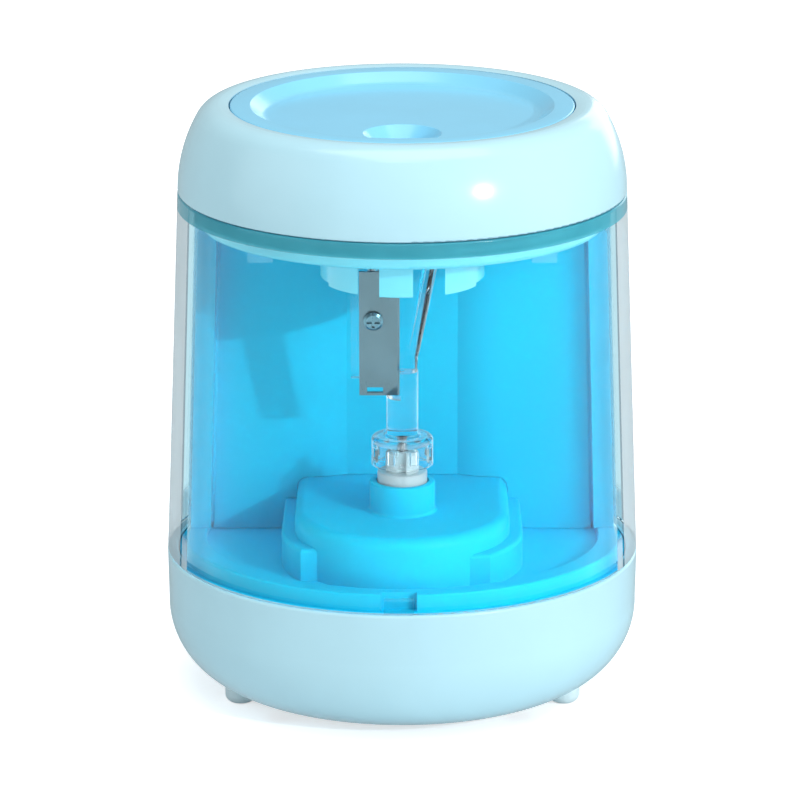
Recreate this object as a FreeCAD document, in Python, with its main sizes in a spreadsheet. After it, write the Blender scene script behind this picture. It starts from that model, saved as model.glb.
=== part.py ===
"""Round electric desktop pencil sharpener with a clear shavings chamber.

Millimetres, +Z up, front towards -Y, the table is z = 0 and the object stands on the middle of the origin.
Every size is in the sheet "sizes"; every sub-part is a document object bound to it.
"""
import math
import os

import FreeCAD
import Part
import Sketcher

DOC = FreeCAD.newDocument("desk_sharpener")
SHEET = DOC.addObject("Spreadsheet::Sheet", "sizes")
VEC = FreeCAD.Vector

SIZES = {
    # fits between fixed pieces, overlap of joined solids, length of a cut that goes right through
    "gap": 0.1,
    "bite": 0.2,
    "through": 60.0,
    # bowl of the base
    "base_rim_r": 44.0,
    "base_side_r": 43.8,
    "base_flat_r": 29.5,
    "base_flat_z": 1.2,
    "base_round_z": 16.7,
    "base_round_r": 14.9,
    "base_top_z": 26.3,
    "base_wall": 2.0,
    "base_edge_r": 0.45,
    "foot_x": 30.1,
    "foot_y": 14.6,
    "foot_r": 2.9,
    "foot_high": 7.0,
    "foot_edge": 0.9,
    # battery bay in the base
    "door_wide": 54.0,
    "door_deep": 32.0,
    "door_corner_r": 5.5,
    "door_thick": 1.8,
    "door_gap": 0.3,
    "grip_half": 6.0,
    "grip_in_half": 4.5,
    "grip_front_y": -12.5,
    "grip_side_y": -10.3,
    "grip_back_y": -9.6,
    "grip_round": 16.0,
    "door_rib_x": 14.5,
    "door_rib_wide": 1.5,
    "door_rib_half": 1.2,
    "door_rib_high": 1.6,
    "bay_wide": 57.0,
    "bay_deep": 34.6,
    "bay_wall": 1.3,
    "bay_corner_r": 6.0,
    "bay_low_z": 3.45,
    "bay_top_z": 19.4,
    "cell_r": 7.1,
    "cell_long": 49.0,
    "cell_y": 7.4,
    "cell_z": 10.9,
    "nub_r": 2.7,
    "nub_long": 1.4,
    "cell_low_edge": 0.5,
    "cell_top_edge": 0.8,
    "strip_half": 3.8,
    "strip_tip_gap": 0.15,
    "strip_high": 6.0,
    "strip_bend": 3.0,
    "strip_tip": 0.6,
    "strip_thick": 0.4,
    "wire_x": 22.0,
    "wire_y": 10.0,
    "wire_r": 1.5,
    # screws that hold the base to the tray
    "post_x": 22.0,
    "post_y": 24.0,
    "post_r": 3.6,
    "post_low_z": 3.1,
    "post_top_z": 18.0,
    "post_seat_z": 12.0,
    "post_seat_r": 2.8,
    "post_bore_r": 1.4,
    "pilot_r": 1.1,
    "pilot_deep": 6.5,
    "chassis_head_r": 2.5,
    "chassis_head_high": 1.8,
    "chassis_shank_r": 1.05,
    "chassis_long": 11.8,
    # floor tray with its rim, pedestal and hub
    "tray_under_z": 25.8,
    "tray_floor_z": 28.0,
    "tray_rim_z": 29.4,
    "tray_rim_r": 40.4,
    "tray_rim_in_r": 36.6,
    "tray_plug_r": 41.75,
    "tray_plug_in_r": 38.6,
    "tray_plug_z": 20.0,
    "tray_edge_r": 0.4,
    "cutter_y": -15.6,
    "ped_r": 19.7,
    "ped_top_z": 38.0,
    "ped_back_y": 14.0,
    "ped_wall": 1.8,
    "ped_roof": 2.0,
    "ped_edge_r": 2.0,
    "arc_r": 22.1,
    "arc_top_z": 34.0,
    "arc_left_deep": 12.4,
    "arc_right_deep": 15.5,
    "arc_edge_r": 0.7,
    "arc_bite": 0.5,
    "hub_r": 6.0,
    "hub_top_z": 43.6,
    "hub_foot_r": 0.5,
    "hub_edge_r": 0.4,
    "hub_seat_r": 4.9,
    "hub_seat_z": 43.0,
    "bush_r": 4.0,
    "notch_mid_x": -0.6,
    "notch_wide": 6.4,
    "notch_in_r": 38.7,
    "room_wire_x": 26.0,
    "room_wire_y": 16.0,
    "room_wire_r": 2.0,
    # wall behind the cutter and the cover of the motor room
    "wall_y": 4.3,
    "wall_half": 35.9,
    "wall_half_top": 34.2,
    "saddle_gap": 0.15,
    "wall_thick": 1.8,
    "wall_edge_r": 0.4,
    "wall_top_z": 87.4,
    "panel_half": 10.4,
    "panel_deep": 1.9,
    "panel_bend_x": 18.8,
    "panel_bend_r": 19.5,
    "room_low_r": 40.2,
    "room_top_r": 38.4,
    "room_wall": 1.8,
    "room_edge_r": 1.5,
    "room_front_y": 0.0,
    "rail_in_x": 33.4,
    "rail_low_x": 38.7,
    "rail_top_x": 36.5,
    "rail_deep": 4.0,
    "lip_low_x": 36.1,
    "lip_top_x": 34.45,
    "lip_low_out_x": 38.9,
    "lip_top_out_x": 36.7,
    "lip_deep": 0.7,
    "vent_wide": 2.0,
    "vent_high": 16.0,
    "vent_low_z": 46.0,
    # gear train
    "tooth_module": 0.6,
    "tooth_lean": 25.0,
    "tooth_slack": 0.07,
    "pinion_teeth": 12,
    "idler_teeth": 48,
    "idler_small_teeth": 14,
    "final_teeth": 50,
    "motor_y": 21.5,
    "low_gear_z": 27.2,
    "low_gear_top_z": 30.4,
    "high_gear_z": 31.6,
    "high_gear_top_z": 34.6,
    "pin_r": 1.0,
    "pin_play": 0.05,
    "plate_r": 18.9,
    "plate_low_z": 23.7,
    "plate_top_z": 25.7,
    "ear_x": 21.3,
    "ear_r": 3.0,
    "ear_front_y": -6.0,
    "ear_back_y": 10.0,
    "ear_hole_r": 1.1,
    "ear_pilot_r": 0.9,
    "ear_pilot_deep": 2.0,
    "boss_r": 4.5,
    "boss_high": 1.0,
    "tube_seat_lift": 0.05,
    "gear_head_r": 1.9,
    "gear_head_high": 1.3,
    "gear_shank_r": 0.85,
    "gear_long": 3.5,
    "final_hub_r": 5.0,
    "final_hole_r": 2.6,
    "final_hole_at": 9.6,
    "idler_hub_r": 2.2,
    "idler_end_gap": 0.3,
    "gear_step": 0.6,
    # motor
    "motor_r": 12.0,
    "motor_wall": 1.0,
    "motor_low_z": 38.1,
    "motor_top_z": 64.0,
    "motor_end_z": 68.5,
    "shaft_r": 1.0,
    "nose_r": 3.0,
    "nose_high": 1.5,
    "nose_hole_r": 3.4,
    "motor_screw_x": 7.0,
    "motor_screw_hole_r": 1.3,
    "motor_thread_r": 1.0,
    "motor_head_r": 1.9,
    "motor_head_high": 1.1,
    "motor_shank_r": 0.95,
    "motor_long": 2.9,
    "end_plug": 2.0,
    "end_edge": 0.5,
    "end_roof": 0.6,
    "magnet_low_z": 43.0,
    "magnet_top_z": 59.0,
    "magnet_thick": 1.6,
    "magnet_split": 4.0,
    "tab_half": 1.2,
    "tab_thick": 0.4,
    "tab_high": 4.5,
    "tab_eye_r": 0.5,
    "tab_eye_z": 3.2,
    "pole_r": 8.7,
    "pole_low_z": 44.0,
    "pole_top_z": 58.0,
    "pole_root_r": 3.4,
    "pole_slot_half": 1.6,
    "collar_r": 2.5,
    "collar_low_z": 58.6,
    "collar_top_z": 61.6,
    # drive
    "tube_r": 2.5,
    "tube_bore_r": 1.15,
    "tube_play": 0.05,
    "tube_low_z": 24.0,
    "tube_top_z": 45.3,
    "ring_r": 4.55,
    "ring_low_z": 43.2,
    "ring_top_z": 45.5,
    "core_r": 3.1,
    "core_top_z": 49.4,
    "core_edge": 0.5,
    "ring_edge": 0.3,
    "groove_half": 0.7,
    "groove_deep": 1.0,
    # clear cutter carrier with its blade
    "crown_r": 5.65,
    "crown_wall": 0.8,
    "crown_low_z": 46.8,
    "crown_top_z": 52.2,
    "crown_roof": 1.4,
    "crown_edge_r": 0.8,
    "window_half": 0.65,
    "window_low": 0.9,
    "window_high": 3.5,
    "drive_rib_half": 0.35,
    "neck_foot_r": 0.6,
    "neck_r": 2.9,
    "cone_low_z": 67.0,
    "cone_top_z": 84.8,
    "cone_r": 6.5,
    "cone_apex_z": 62.0,
    "cone_slope": 0.2035,
    "cone_lean": 11.5,
    "cone_tip": 2.0,
    "slot_deep": 1.6,
    "slot_above": 2.5,
    "wing_x": 9.3,
    "wing_thick": 2.6,
    "wing_low_z": 63.0,
    "blade_left": 7.8,
    "blade_right": 0.5,
    "blade_long": 25.1,
    "blade_thick": 0.5,
    "blade_below": 2.2,
    "blade_cut_below": 2.5,
    "blade_play": 0.2,
    "blade_lift": 0.02,
    "blade_bevel": 0.35,
    "eye_left": 6.4,
    "eye_right": 3.5,
    "eye_low": 0.55,
    "eye_high": 1.65,
    "screw_x": -5.25,
    "screw_up": 13.1,
    "screw_eye_r": 1.0,
    "screw_head_r": 1.8,
    "screw_head_high": 0.8,
    "screw_shank_r": 0.8,
    "screw_long": 2.6,
    "rod_r": 0.8,
    "rod_low_z": 23.6,
    "rod_top_z": 52.0,
    # switch under the push rod
    "switch_low_z": 19.5,
    "switch_top_z": 22.2,
    "switch_wide": 9.0,
    "switch_deep": 7.0,
    "button_r": 1.6,
    "button_low_z": 21.4,
    "button_top_z": 23.4,
    "button_play": 0.35,
    "switch_floor": 0.7,
    # lift-off cover
    "sleeve_low_z": 26.45,
    "sleeve_top_z": 94.65,
    "sleeve_low_r": 43.95,
    "sleeve_top_r": 41.45,
    "sleeve_wall": 3.0,
    "sleeve_edge_r": 0.3,
    "flange_low_z": 91.5,
    "flange_r": 33.6,
    "spigot_z": 97.0,
    "spigot_r": 39.1,
    "spigot_wall": 0.8,
    "spigot_gap": 0.2,
    "tab_side_gap": 0.5,
    "tab_front_gap": 0.4,
    "tab_root": 0.4,
    "tab_tall": 1.9,
    "cap_low_z": 94.8,
    "cap_low_r": 41.4,
    "cap_edge_r": 0.4,
    "cap_bend_r": 37.82,
    "cap_bend_z": 108.52,
    "cap_side_round": 27.4,
    "cap_top_round": 4.71,
    "cap_crest_r": 33.73,
    "cap_crest_z": 110.9,
    "cap_lip_round": 8.47,
    "cap_lip_drop": 0.2,
    "cap_hole_r": 31.9,
    "cap_ledge_r": 29.0,
    "cap_ledge_z": 106.7,
    "cap_ledge": 1.5,
    "cap_wall": 1.9,
    "cap_step_z": 100.0,
    "cap_step_r": 38.8,
    "insert_r": 31.65,
    "insert_rim_z": 110.7,
    "insert_rim_r": 27.8,
    "insert_floor_r": 24.4,
    "insert_floor_z": 108.8,
    "insert_low_z": 106.8,
    "insert_dish_round": 3.99,
    "insert_edge_r": 0.3,
    "dish_edge_r": 0.6,
    "mouth_r": 7.1,
    "mouth_round": 3.6,
    "mouth_deep": 3.2,
    "bore_r": 4.2,
    "guide_r": 7.4,
    "guide_low_z": 87.0,
    "guide_play": 0.3,
    "disc_r": 36.9,
    "disc_low_z": 88.8,
    "disc_top_z": 91.3,
    "disc_low_edge": 0.8,
    "disc_top_edge": 0.4,
    "neck_ring_r": 33.0,
    "neck_ring_wall": 1.8,
    "neck_ring_top_z": 105.1,
    "skirt_r": 14.8,
    "skirt_wall": 1.6,
    "skirt_low_z": 82.0,
    "skirt_edge_r": 0.35,
    "clip_x": 25.3,
    "clip_y": -20.5,
    "clip_half": 2.2,
    "clip_thick": 1.2,
    "clip_low_z": 86.2,
    "gap_left_x": -7.9,
    "gap_left_end_x": -4.1,
    "gap_right_x": 1.9,
    "gap_right_end_x": 7.6,
    "gap_back": 6.0,
    "skirt_end_x": 13.2,
    "skirt_end_high": 0.8,
    "stud_at": 24.0,
    "stud_r": 3.0,
    "stud_hole_r": 1.1,
    "stud_hole_deep": 8.0,
    "stud_seat_r": 2.7,
    "stud_seat": 1.3,
    "stud_way_r": 1.3,
    "cover_head_r": 2.4,
    "cover_head_high": 1.2,
    "cover_shank_r": 1.05,
    "cover_long": 8.0,
}


class Size:
    """A number together with the sheet formula it comes from."""

    def __init__(self, value, text):
        self.value = float(value)
        self.text = text

    def join(self, sign, other, value):
        return Size(value, "(%s %s %s)" % (self.text, sign, other.text))

    def __add__(self, other):
        other = as_size(other)
        return self.join("+", other, self.value + other.value)

    def __radd__(self, other):
        return as_size(other) + self

    def __sub__(self, other):
        other = as_size(other)
        return self.join("-", other, self.value - other.value)

    def __rsub__(self, other):
        return as_size(other) - self

    def __mul__(self, other):
        other = as_size(other)
        return self.join("*", other, self.value * other.value)

    def __rmul__(self, other):
        return as_size(other) * self

    def __truediv__(self, other):
        other = as_size(other)
        return self.join("/", other, self.value / other.value)

    def __neg__(self):
        return as_size(-1) * self

    def root(self):
        return Size(math.sqrt(self.value), "sqrt(%s)" % self.text)


def as_size(thing):
    """Give a plain number or a Size as a Size."""
    if isinstance(thing, Size):
        return thing
    return Size(thing, "(%r)" % float(thing))


class Sizes:
    """The sheet's values, reached by their names."""

    def __init__(self, table):
        for row, (name, value) in enumerate(table.items(), 1):
            SHEET.set("A%d" % row, name)
            SHEET.set("B%d" % row, str(value))
            SHEET.setAlias("B%d" % row, name)
            setattr(self, name, Size(value, "sizes." + name))


V = Sizes(SIZES)
DOC.recompute()
NODES = []


def bind(thing, prop, size):
    """Bind one property of an object to its formula."""
    size = as_size(size)
    thing.setExpression(prop, size.text)


def keep(thing, label):
    """Name a finished sub-part; the name is also its file."""
    thing.Label = label
    NODES.append(thing)
    return thing


def place(thing, x=None, y=None, z=None):
    """Bind the place of an object."""
    for axis, size in (("x", x), ("y", y), ("z", z)):
        if size is not None:
            bind(thing, "Placement.Base." + axis, size)


def new_body(name):
    return DOC.addObject("PartDesign::Body", name)


def new_sketch(body, name, plane="XY_Plane", lift=None):
    """Start a sketch on one of the body's own planes, lifted along the plane's normal."""
    drawn = body.newObject("Sketcher::SketchObject", name)
    datum = [item for item in body.Origin.OriginFeatures if item.Role == plane][0]
    drawn.AttachmentSupport = [(datum, "")]
    drawn.MapMode = "FlatFace"
    if lift is not None:
        bind(drawn, "AttachmentOffset.Base.z", lift)
    return drawn


def pin_point(drawn, geo, pos, x, y):
    """Hold one point of a sketch at a bound x and y."""
    for kind, axis, size in (("DistanceX", -2, as_size(x)), ("DistanceY", -1, as_size(y))):
        if abs(size.value) < 1e-9:
            drawn.addConstraint(Sketcher.Constraint("PointOnObject", geo, pos, axis))
            continue
        row = drawn.addConstraint(Sketcher.Constraint(kind, -1, 1, geo, pos, size.value))
        name = "at_%d" % row
        drawn.renameConstraint(row, name)
        drawn.setExpression("Constraints." + name, size.text)


def pin_radius(drawn, geo, radius):
    """Hold the radius of an arc or circle."""
    radius = as_size(radius)
    row = drawn.addConstraint(Sketcher.Constraint("Radius", geo, radius.value))
    name = "round_%d" % row
    drawn.renameConstraint(row, name)
    drawn.setExpression("Constraints." + name, radius.text)


def arc_between(start, end, radius, turn):
    """Short arc from start to end; turn +1 runs anticlockwise."""
    chord = end - start
    side = VEC(-chord.y, chord.x, 0) * (turn / chord.Length)
    centre = (start + end) * 0.5 + side * math.sqrt(radius ** 2 - chord.Length ** 2 / 4)
    circle = Part.Circle(centre, VEC(0, 0, 1), radius)
    angles = [math.atan2((p - centre).y, (p - centre).x) for p in (start, end)]
    if turn < 0:
        angles.reverse()
    return Part.ArcOfCircle(circle, angles[0], angles[1])


def outline(drawn, corners):
    """Closed outline; a corner (x, y, radius, turn) is reached by an arc, (x, y) by a line."""
    spots = [VEC(as_size(c[0]).value, as_size(c[1]).value, 0) for c in corners]
    ends = []
    for index, corner in enumerate(corners):
        start = spots[index - 1]
        end = spots[index]
        if len(corner) == 4:
            radius = as_size(corner[2])
            geo = drawn.addGeometry(arc_between(start, end, radius.value, corner[3]), False)
            ends.append((geo, 1, 2) if corner[3] > 0 else (geo, 2, 1))
        else:
            geo = drawn.addGeometry(Part.LineSegment(start, end), False)
            ends.append((geo, 1, 2))
    for index, corner in enumerate(corners):
        geo, _, last = ends[index]
        other, first, _ = ends[(index + 1) % len(ends)]
        drawn.addConstraint(Sketcher.Constraint("Coincident", geo, last, other, first))
    for index, corner in enumerate(corners):
        geo, _, last = ends[index]
        pin_point(drawn, geo, last, corner[0], corner[1])
        if len(corner) == 4:
            pin_radius(drawn, geo, corner[2])
    return drawn


def circle(drawn, x, y, radius):
    """Full circle with a bound middle and radius."""
    spot = VEC(as_size(x).value, as_size(y).value, 0)
    geo = drawn.addGeometry(Part.Circle(spot, VEC(0, 0, 1), as_size(radius).value), False)
    pin_point(drawn, geo, 3, x, y)
    pin_radius(drawn, geo, radius)
    return drawn


def box_outline(drawn, left, right, low, high):
    """Plain rectangle."""
    return outline(drawn, [(left, low), (right, low), (right, high), (left, high)])


def soft_box_outline(drawn, wide, deep, corner):
    """Rectangle round the origin with round corners."""
    x = as_size(wide) / 2
    y = as_size(deep) / 2
    return outline(drawn, [
        (x - corner, -y), (x, corner - y, corner, 1), (x, y - corner), (x - corner, y, corner, 1),
        (corner - x, y), (-x, y - corner, corner, 1), (-x, corner - y), (corner - x, -y, corner, 1)])


def capsule_outline(drawn, radius):
    """Long round-ended outline from the cutter axis back to the motor."""
    radius = as_size(radius)
    return outline(drawn, [
        (-radius, V.cutter_y), (0, V.cutter_y - radius, radius, 1), (radius, V.cutter_y, radius, 1),
        (radius, V.ped_back_y), (0, V.ped_back_y + radius, radius, 1), (-radius, V.ped_back_y, radius, 1)])


def feature(body, kind, drawn, size, flip=False, middle=False):
    """Pad or pocket a sketch by a bound length."""
    made = body.newObject("PartDesign::" + kind, kind.lower() + "_" + drawn.Name)
    made.Profile = drawn
    bind(made, "Length", size)
    made.Reversed = flip
    made.Midplane = middle
    body.Tip = made
    return made


def pad(body, drawn, size, flip=False, middle=False):
    return feature(body, "Pad", drawn, size, flip, middle)


def pocket(body, drawn, size, flip=False, middle=False):
    return feature(body, "Pocket", drawn, size, flip, middle)


def turned(body, drawn, kind="Revolution"):
    """Turn a sketch once round its own vertical axis, adding or cutting."""
    made = body.newObject("PartDesign::" + kind, kind.lower() + "_" + drawn.Name)
    made.Profile = drawn
    made.ReferenceAxis = (drawn, ["V_Axis"])
    made.Angle = 360.0
    body.Tip = made
    return made


def around(body, source, count):
    """Repeat a feature round the body's vertical axis."""
    made = body.newObject("PartDesign::PolarPattern", "ring_" + source.Name)
    made.Originals = [source]
    datum = [item for item in body.Origin.OriginFeatures if item.Role == "Z_Axis"][0]
    made.Axis = (datum, [""])
    made.Angle = 360.0
    made.Occurrences = count
    body.Tip = made
    return made


def soften(body, name, radius, wanted):
    """Round the edges whose middle point passes the test."""
    DOC.recompute()
    base = body.Tip
    picked = []
    for index, edge in enumerate(base.Shape.Edges, 1):
        spot = edge.valueAt((edge.FirstParameter + edge.LastParameter) / 2)
        if wanted(spot, edge):
            picked.append("Edge%d" % index)
    made = body.newObject("PartDesign::Fillet", name)
    made.Base = (base, picked)
    bind(made, "Radius", radius)
    body.Tip = made
    return made


def rod(name, radius, low, high, x=0, y=0):
    """Plain upright cylinder between two heights."""
    made = DOC.addObject("Part::Cylinder", name)
    bind(made, "Radius", radius)
    bind(made, "Height", as_size(high) - low)
    place(made, x, y, low)
    return made


def block(name, left, right, front, back, low, high):
    """Plain box between six planes."""
    made = DOC.addObject("Part::Box", name)
    bind(made, "Length", as_size(right) - left)
    bind(made, "Width", as_size(back) - front)
    bind(made, "Height", as_size(high) - low)
    place(made, left, front, low)
    return made


def fused(name, pieces):
    made = DOC.addObject("Part::MultiFuse", name)
    made.Shapes = pieces
    return made


def cut(name, base, tool):
    made = DOC.addObject("Part::Cut", name)
    made.Base = base
    made.Tool = tool
    return made


def copies(name, source, spots):
    """Group of separate copies of one piece, each at its own bound place."""
    links = []
    for number, spot in enumerate(spots, 1):
        link = DOC.addObject("App::Link", "%s_%d" % (name, number))
        link.LinkedObject = source
        place(link, *spot)
        links.append(link)
    group = DOC.addObject("Part::Compound", name)
    group.Links = links
    return group


def screw(name, head_r, head_high, shank_r, shank_long):
    """Cross-head screw, head down, its seat at z = 0 and the shank upwards."""
    body = new_body(name)
    drawn = new_sketch(body, name + "_side", "XZ_Plane")
    outline(drawn, [
        (0, -head_high), (head_r * 0.75, -head_high), (head_r, -head_high * 0.6), (head_r, 0),
        (shank_r, 0), (shank_r, shank_long - shank_r), (shank_r * 0.3, shank_long), (0, shank_long)])
    turned(body, drawn)
    for turn, (wide, deep) in enumerate(((head_r * 0.3, head_r * 1.3), (head_r * 1.3, head_r * 0.3))):
        mark = new_sketch(body, "%s_cross_%d" % (name, turn), lift=-head_high)
        box_outline(mark, -wide / 2, wide / 2, -deep / 2, deep / 2)
        pocket(body, mark, head_high * 0.5, flip=True)
    return body


def corners(x, y):
    """Four spots mirrored about both middle planes."""
    return [(x, y), (-as_size(x), y), (x, -as_size(y)), (-as_size(x), -as_size(y))]


def involute_gear(teeth, low, high, turn):
    """Spur gear: involute flanks from the base circle to the tip, thinned by the slack."""
    module = V.tooth_module.value
    lean = math.radians(V.tooth_lean.value)
    pitch_r = module * teeth / 2
    base_r = pitch_r * math.cos(lean)
    tip_r = pitch_r + module
    root_r = pitch_r - 1.25 * module
    half = math.pi / (2 * teeth) - V.tooth_slack.value / pitch_r + math.tan(lean) - lean
    flank = []
    first_r = max(base_r, root_r)
    for step in range(4):
        radius = first_r + (tip_r - first_r) * step / 3
        roll = math.acos(min(1.0, base_r / radius))
        flank.append((radius, half - (math.tan(roll) - roll)))
    if root_r < base_r:
        flank.insert(0, (root_r, flank[0][1]))
    points = []
    for tooth in range(teeth):
        middle = turn + 2 * math.pi * tooth / teeth
        for radius, angle in flank:
            points.append((radius, middle - angle))
        for radius, angle in reversed(flank):
            points.append((radius, middle + angle))
    spots = [VEC(r * math.cos(a), r * math.sin(a), low) for r, a in points]
    face = Part.Face(Part.makePolygon(spots + spots[:1]))
    return face.extrude(VEC(0, 0, high - low))


# bowl of the base, with the battery opening and four screw posts
base = new_body("base_body")
bowl = new_sketch(base, "bowl_side", "XZ_Plane")
outline(bowl, [
    (0, V.base_flat_z),
    (V.base_flat_r, V.base_flat_z),
    (V.base_side_r, V.base_round_z, V.base_round_r, 1),
    (V.base_rim_r, V.base_top_z - V.base_edge_r),
    (V.base_rim_r - V.base_edge_r, V.base_top_z, V.base_edge_r, 1),
    (V.base_rim_r - V.base_wall, V.base_top_z),
    (V.base_side_r - V.base_wall, V.base_round_z),
    (V.base_flat_r, V.base_flat_z + V.base_wall, V.base_round_r - V.base_wall, -1),
    (0, V.base_flat_z + V.base_wall)])
turned(base, bowl)
posts = new_sketch(base, "base_posts", lift=V.post_low_z)
for x, y in corners(V.post_x, V.post_y):
    circle(posts, x, y, V.post_r)
pad(base, posts, V.post_top_z - V.post_low_z)
opening = new_sketch(base, "door_opening", lift=0)
soft_box_outline(opening, V.door_wide + V.door_gap * 2, V.door_deep + V.door_gap * 2, V.door_corner_r)
pocket(base, opening, V.base_flat_z + V.base_wall + V.gap, flip=True)
seats = new_sketch(base, "screw_seats", lift=0)
for x, y in corners(V.post_x, V.post_y):
    circle(seats, x, y, V.post_seat_r)
pocket(base, seats, V.post_seat_z, flip=True)
bores = new_sketch(base, "screw_bores", lift=V.post_seat_z - V.bite)
for x, y in corners(V.post_x, V.post_y):
    circle(bores, x, y, V.post_bore_r)
pocket(base, bores, V.post_top_z - V.post_seat_z + V.bite * 2, flip=True)
keep(base, "base_shell")

# four soft pads shaped to the bowl they sit under
bowl_plug = new_body("bowl_plug")
plug_side = new_sketch(bowl_plug, "plug_side", "XZ_Plane")
outline(plug_side, [
    (0, V.base_flat_z),
    (V.base_flat_r, V.base_flat_z),
    (V.base_side_r, V.base_round_z, V.base_round_r, 1),
    (0, V.base_round_z)])
turned(bowl_plug, plug_side)
pads = []
for number, (x, y) in enumerate(corners(V.foot_x, V.foot_y), 1):
    foot = rod("foot_%d" % number, V.foot_r, 0, V.foot_high, x, y)
    DOC.recompute()
    soft = DOC.addObject("Part::Fillet", "foot_edge_%d" % number)
    soft.Base = foot
    low_edge = [i for i, e in enumerate(foot.Shape.Edges, 1) if e.BoundBox.ZMax < 0.01]
    soft.Edges = [(i, V.foot_edge.value, V.foot_edge.value) for i in low_edge]
    pads.append(cut("foot_cut_%d" % number, soft, bowl_plug))
feet = DOC.addObject("Part::Compound", "feet_group")
feet.Links = pads
keep(feet, "rubber_feet")

# battery door with two ribs that steady the cells
door = new_body("door_body")
door_face = new_sketch(door, "door_face", lift=V.base_flat_z)
soft_box_outline(door_face, V.door_wide, V.door_deep, V.door_corner_r - V.door_gap)
pad(door, door_face, V.door_thick)
door_grip = new_sketch(door, "door_grip", lift=V.base_flat_z)
outline(door_grip, [
    (-V.grip_half, V.grip_front_y), (V.grip_half, V.grip_front_y), (V.grip_in_half, V.grip_side_y),
    (0, V.grip_back_y, V.grip_round, 1), (-V.grip_in_half, V.grip_side_y, V.grip_round, 1)])
pocket(door, door_grip, V.door_thick / 2, flip=True)
door_ribs = new_sketch(door, "door_ribs", lift=V.base_flat_z + V.door_thick)
for side in (-1, 1):
    box_outline(door_ribs, V.door_rib_x * side, (V.door_rib_x + V.door_rib_wide) * side,
                -V.door_rib_half, V.door_rib_half)
pad(door, door_ribs, V.door_rib_high)
keep(door, "battery_door")

# upside-down box over the two cells
bay = new_body("bay_body")
bay_out = new_sketch(bay, "bay_out", lift=V.bay_low_z)
soft_box_outline(bay_out, V.bay_wide, V.bay_deep, V.bay_corner_r)
pad(bay, bay_out, V.bay_top_z - V.bay_low_z)
bay_in = new_sketch(bay, "bay_in", lift=V.bay_low_z)
soft_box_outline(bay_in, V.bay_wide - V.bay_wall * 2, V.bay_deep - V.bay_wall * 2, V.bay_corner_r - V.bay_wall)
pocket(bay, bay_in, V.bay_top_z - V.bay_low_z - V.bay_wall, flip=True)
bay_wires = new_sketch(bay, "bay_wires", lift=V.bay_top_z)
circle(bay_wires, V.wire_x, V.wire_y, V.wire_r)
circle(bay_wires, V.wire_x, -V.wire_y, V.wire_r)
pocket(bay, bay_wires, V.bay_wall * 2)
keep(bay, "battery_box")

# two AA cells lying side by side, pointing opposite ways
cells = []
for number, side in enumerate((1, -1), 1):
    cell = new_body("cell_%d" % number)
    cell_side = new_sketch(cell, "cell_side_%d" % number, "XZ_Plane")
    outline(cell_side, [
        (0, 0), (V.cell_r - V.cell_low_edge, 0), (V.cell_r, V.cell_low_edge),
        (V.cell_r, V.cell_long - V.cell_top_edge), (V.cell_r - V.cell_top_edge, V.cell_long),
        (V.nub_r, V.cell_long), (V.nub_r, V.cell_long + V.nub_long), (0, V.cell_long + V.nub_long)])
    turned(cell, cell_side)
    cell.Placement = FreeCAD.Placement(VEC(), FreeCAD.Rotation(VEC(0, 1, 0), 90 * side))
    place(cell, -(V.cell_long + V.nub_long) / 2 * side, V.cell_y * side, V.cell_z)
    cells.append(cell)
cell_group = DOC.addObject("Part::Compound", "cell_group")
cell_group.Links = cells
keep(cell_group, "battery_cells")

# sprung contact strips at both ends of the cells: two single ones and a bridge
strips = []
strip_out = V.cell_y + V.strip_half
strip_in = V.cell_y - V.strip_half
strip_spots = (("plus", 1, strip_in, strip_out), ("minus", 1, -strip_out, -strip_in),
               ("bridge", -1, -strip_out, strip_out))
for word, side, front, back in strip_spots:
    strip = new_body("strip_" + word)
    bent = new_sketch(strip, "bent_" + word, "XZ_Plane", lift=-back)
    wall_x = (V.bay_wide / 2 - V.bay_wall - V.gap) * side
    face_x = wall_x - V.strip_thick * side
    tip_x = ((V.cell_long + V.nub_long) / 2 + V.strip_tip_gap) * side
    outline(bent, [
        (wall_x, V.cell_z - V.strip_high), (wall_x, V.cell_z + V.strip_high),
        (face_x, V.cell_z + V.strip_high), (face_x, V.cell_z + V.strip_bend),
        (tip_x, V.cell_z + V.strip_tip), (tip_x, V.cell_z - V.strip_tip),
        (face_x, V.cell_z - V.strip_bend), (face_x, V.cell_z - V.strip_high)])
    pad(strip, bent, as_size(back) - front)
    strips.append(strip)
strip_group = DOC.addObject("Part::Compound", "strip_group")
strip_group.Links = strips
keep(strip_group, "battery_contacts")

# floor tray: floor, rim, plug into the bowl, hollow pedestal, arc ribs, hub, latch notch
tray = new_body("tray_body")
tray_side = new_sketch(tray, "tray_side", "XZ_Plane")
outline(tray_side, [
    (0, V.tray_under_z),
    (V.tray_plug_in_r, V.tray_under_z),
    (V.tray_plug_in_r, V.tray_plug_z),
    (V.tray_plug_r, V.tray_plug_z),
    (V.tray_plug_r, V.base_top_z - V.gap),
    (V.tray_rim_r, V.base_top_z - V.gap),
    (V.tray_rim_r, V.tray_rim_z - V.tray_edge_r),
    (V.tray_rim_r - V.tray_edge_r, V.tray_rim_z, V.tray_edge_r, 1),
    (V.tray_rim_in_r + V.tray_edge_r, V.tray_rim_z),
    (V.tray_rim_in_r, V.tray_rim_z - V.tray_edge_r, V.tray_edge_r, 1),
    (V.tray_rim_in_r, V.tray_floor_z),
    (0, V.tray_floor_z)])
turned(tray, tray_side)
pedestal = new_sketch(tray, "pedestal", lift=V.tray_floor_z - V.bite)
capsule_outline(pedestal, V.ped_r)
pad(tray, pedestal, V.ped_top_z - V.tray_floor_z + V.bite)
soften(tray, "pedestal_edge", V.ped_edge_r, lambda p, e: abs(p.z - V.ped_top_z.value) < 0.01)
hollow = new_sketch(tray, "hollow", lift=V.tray_under_z - V.gap)
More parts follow.
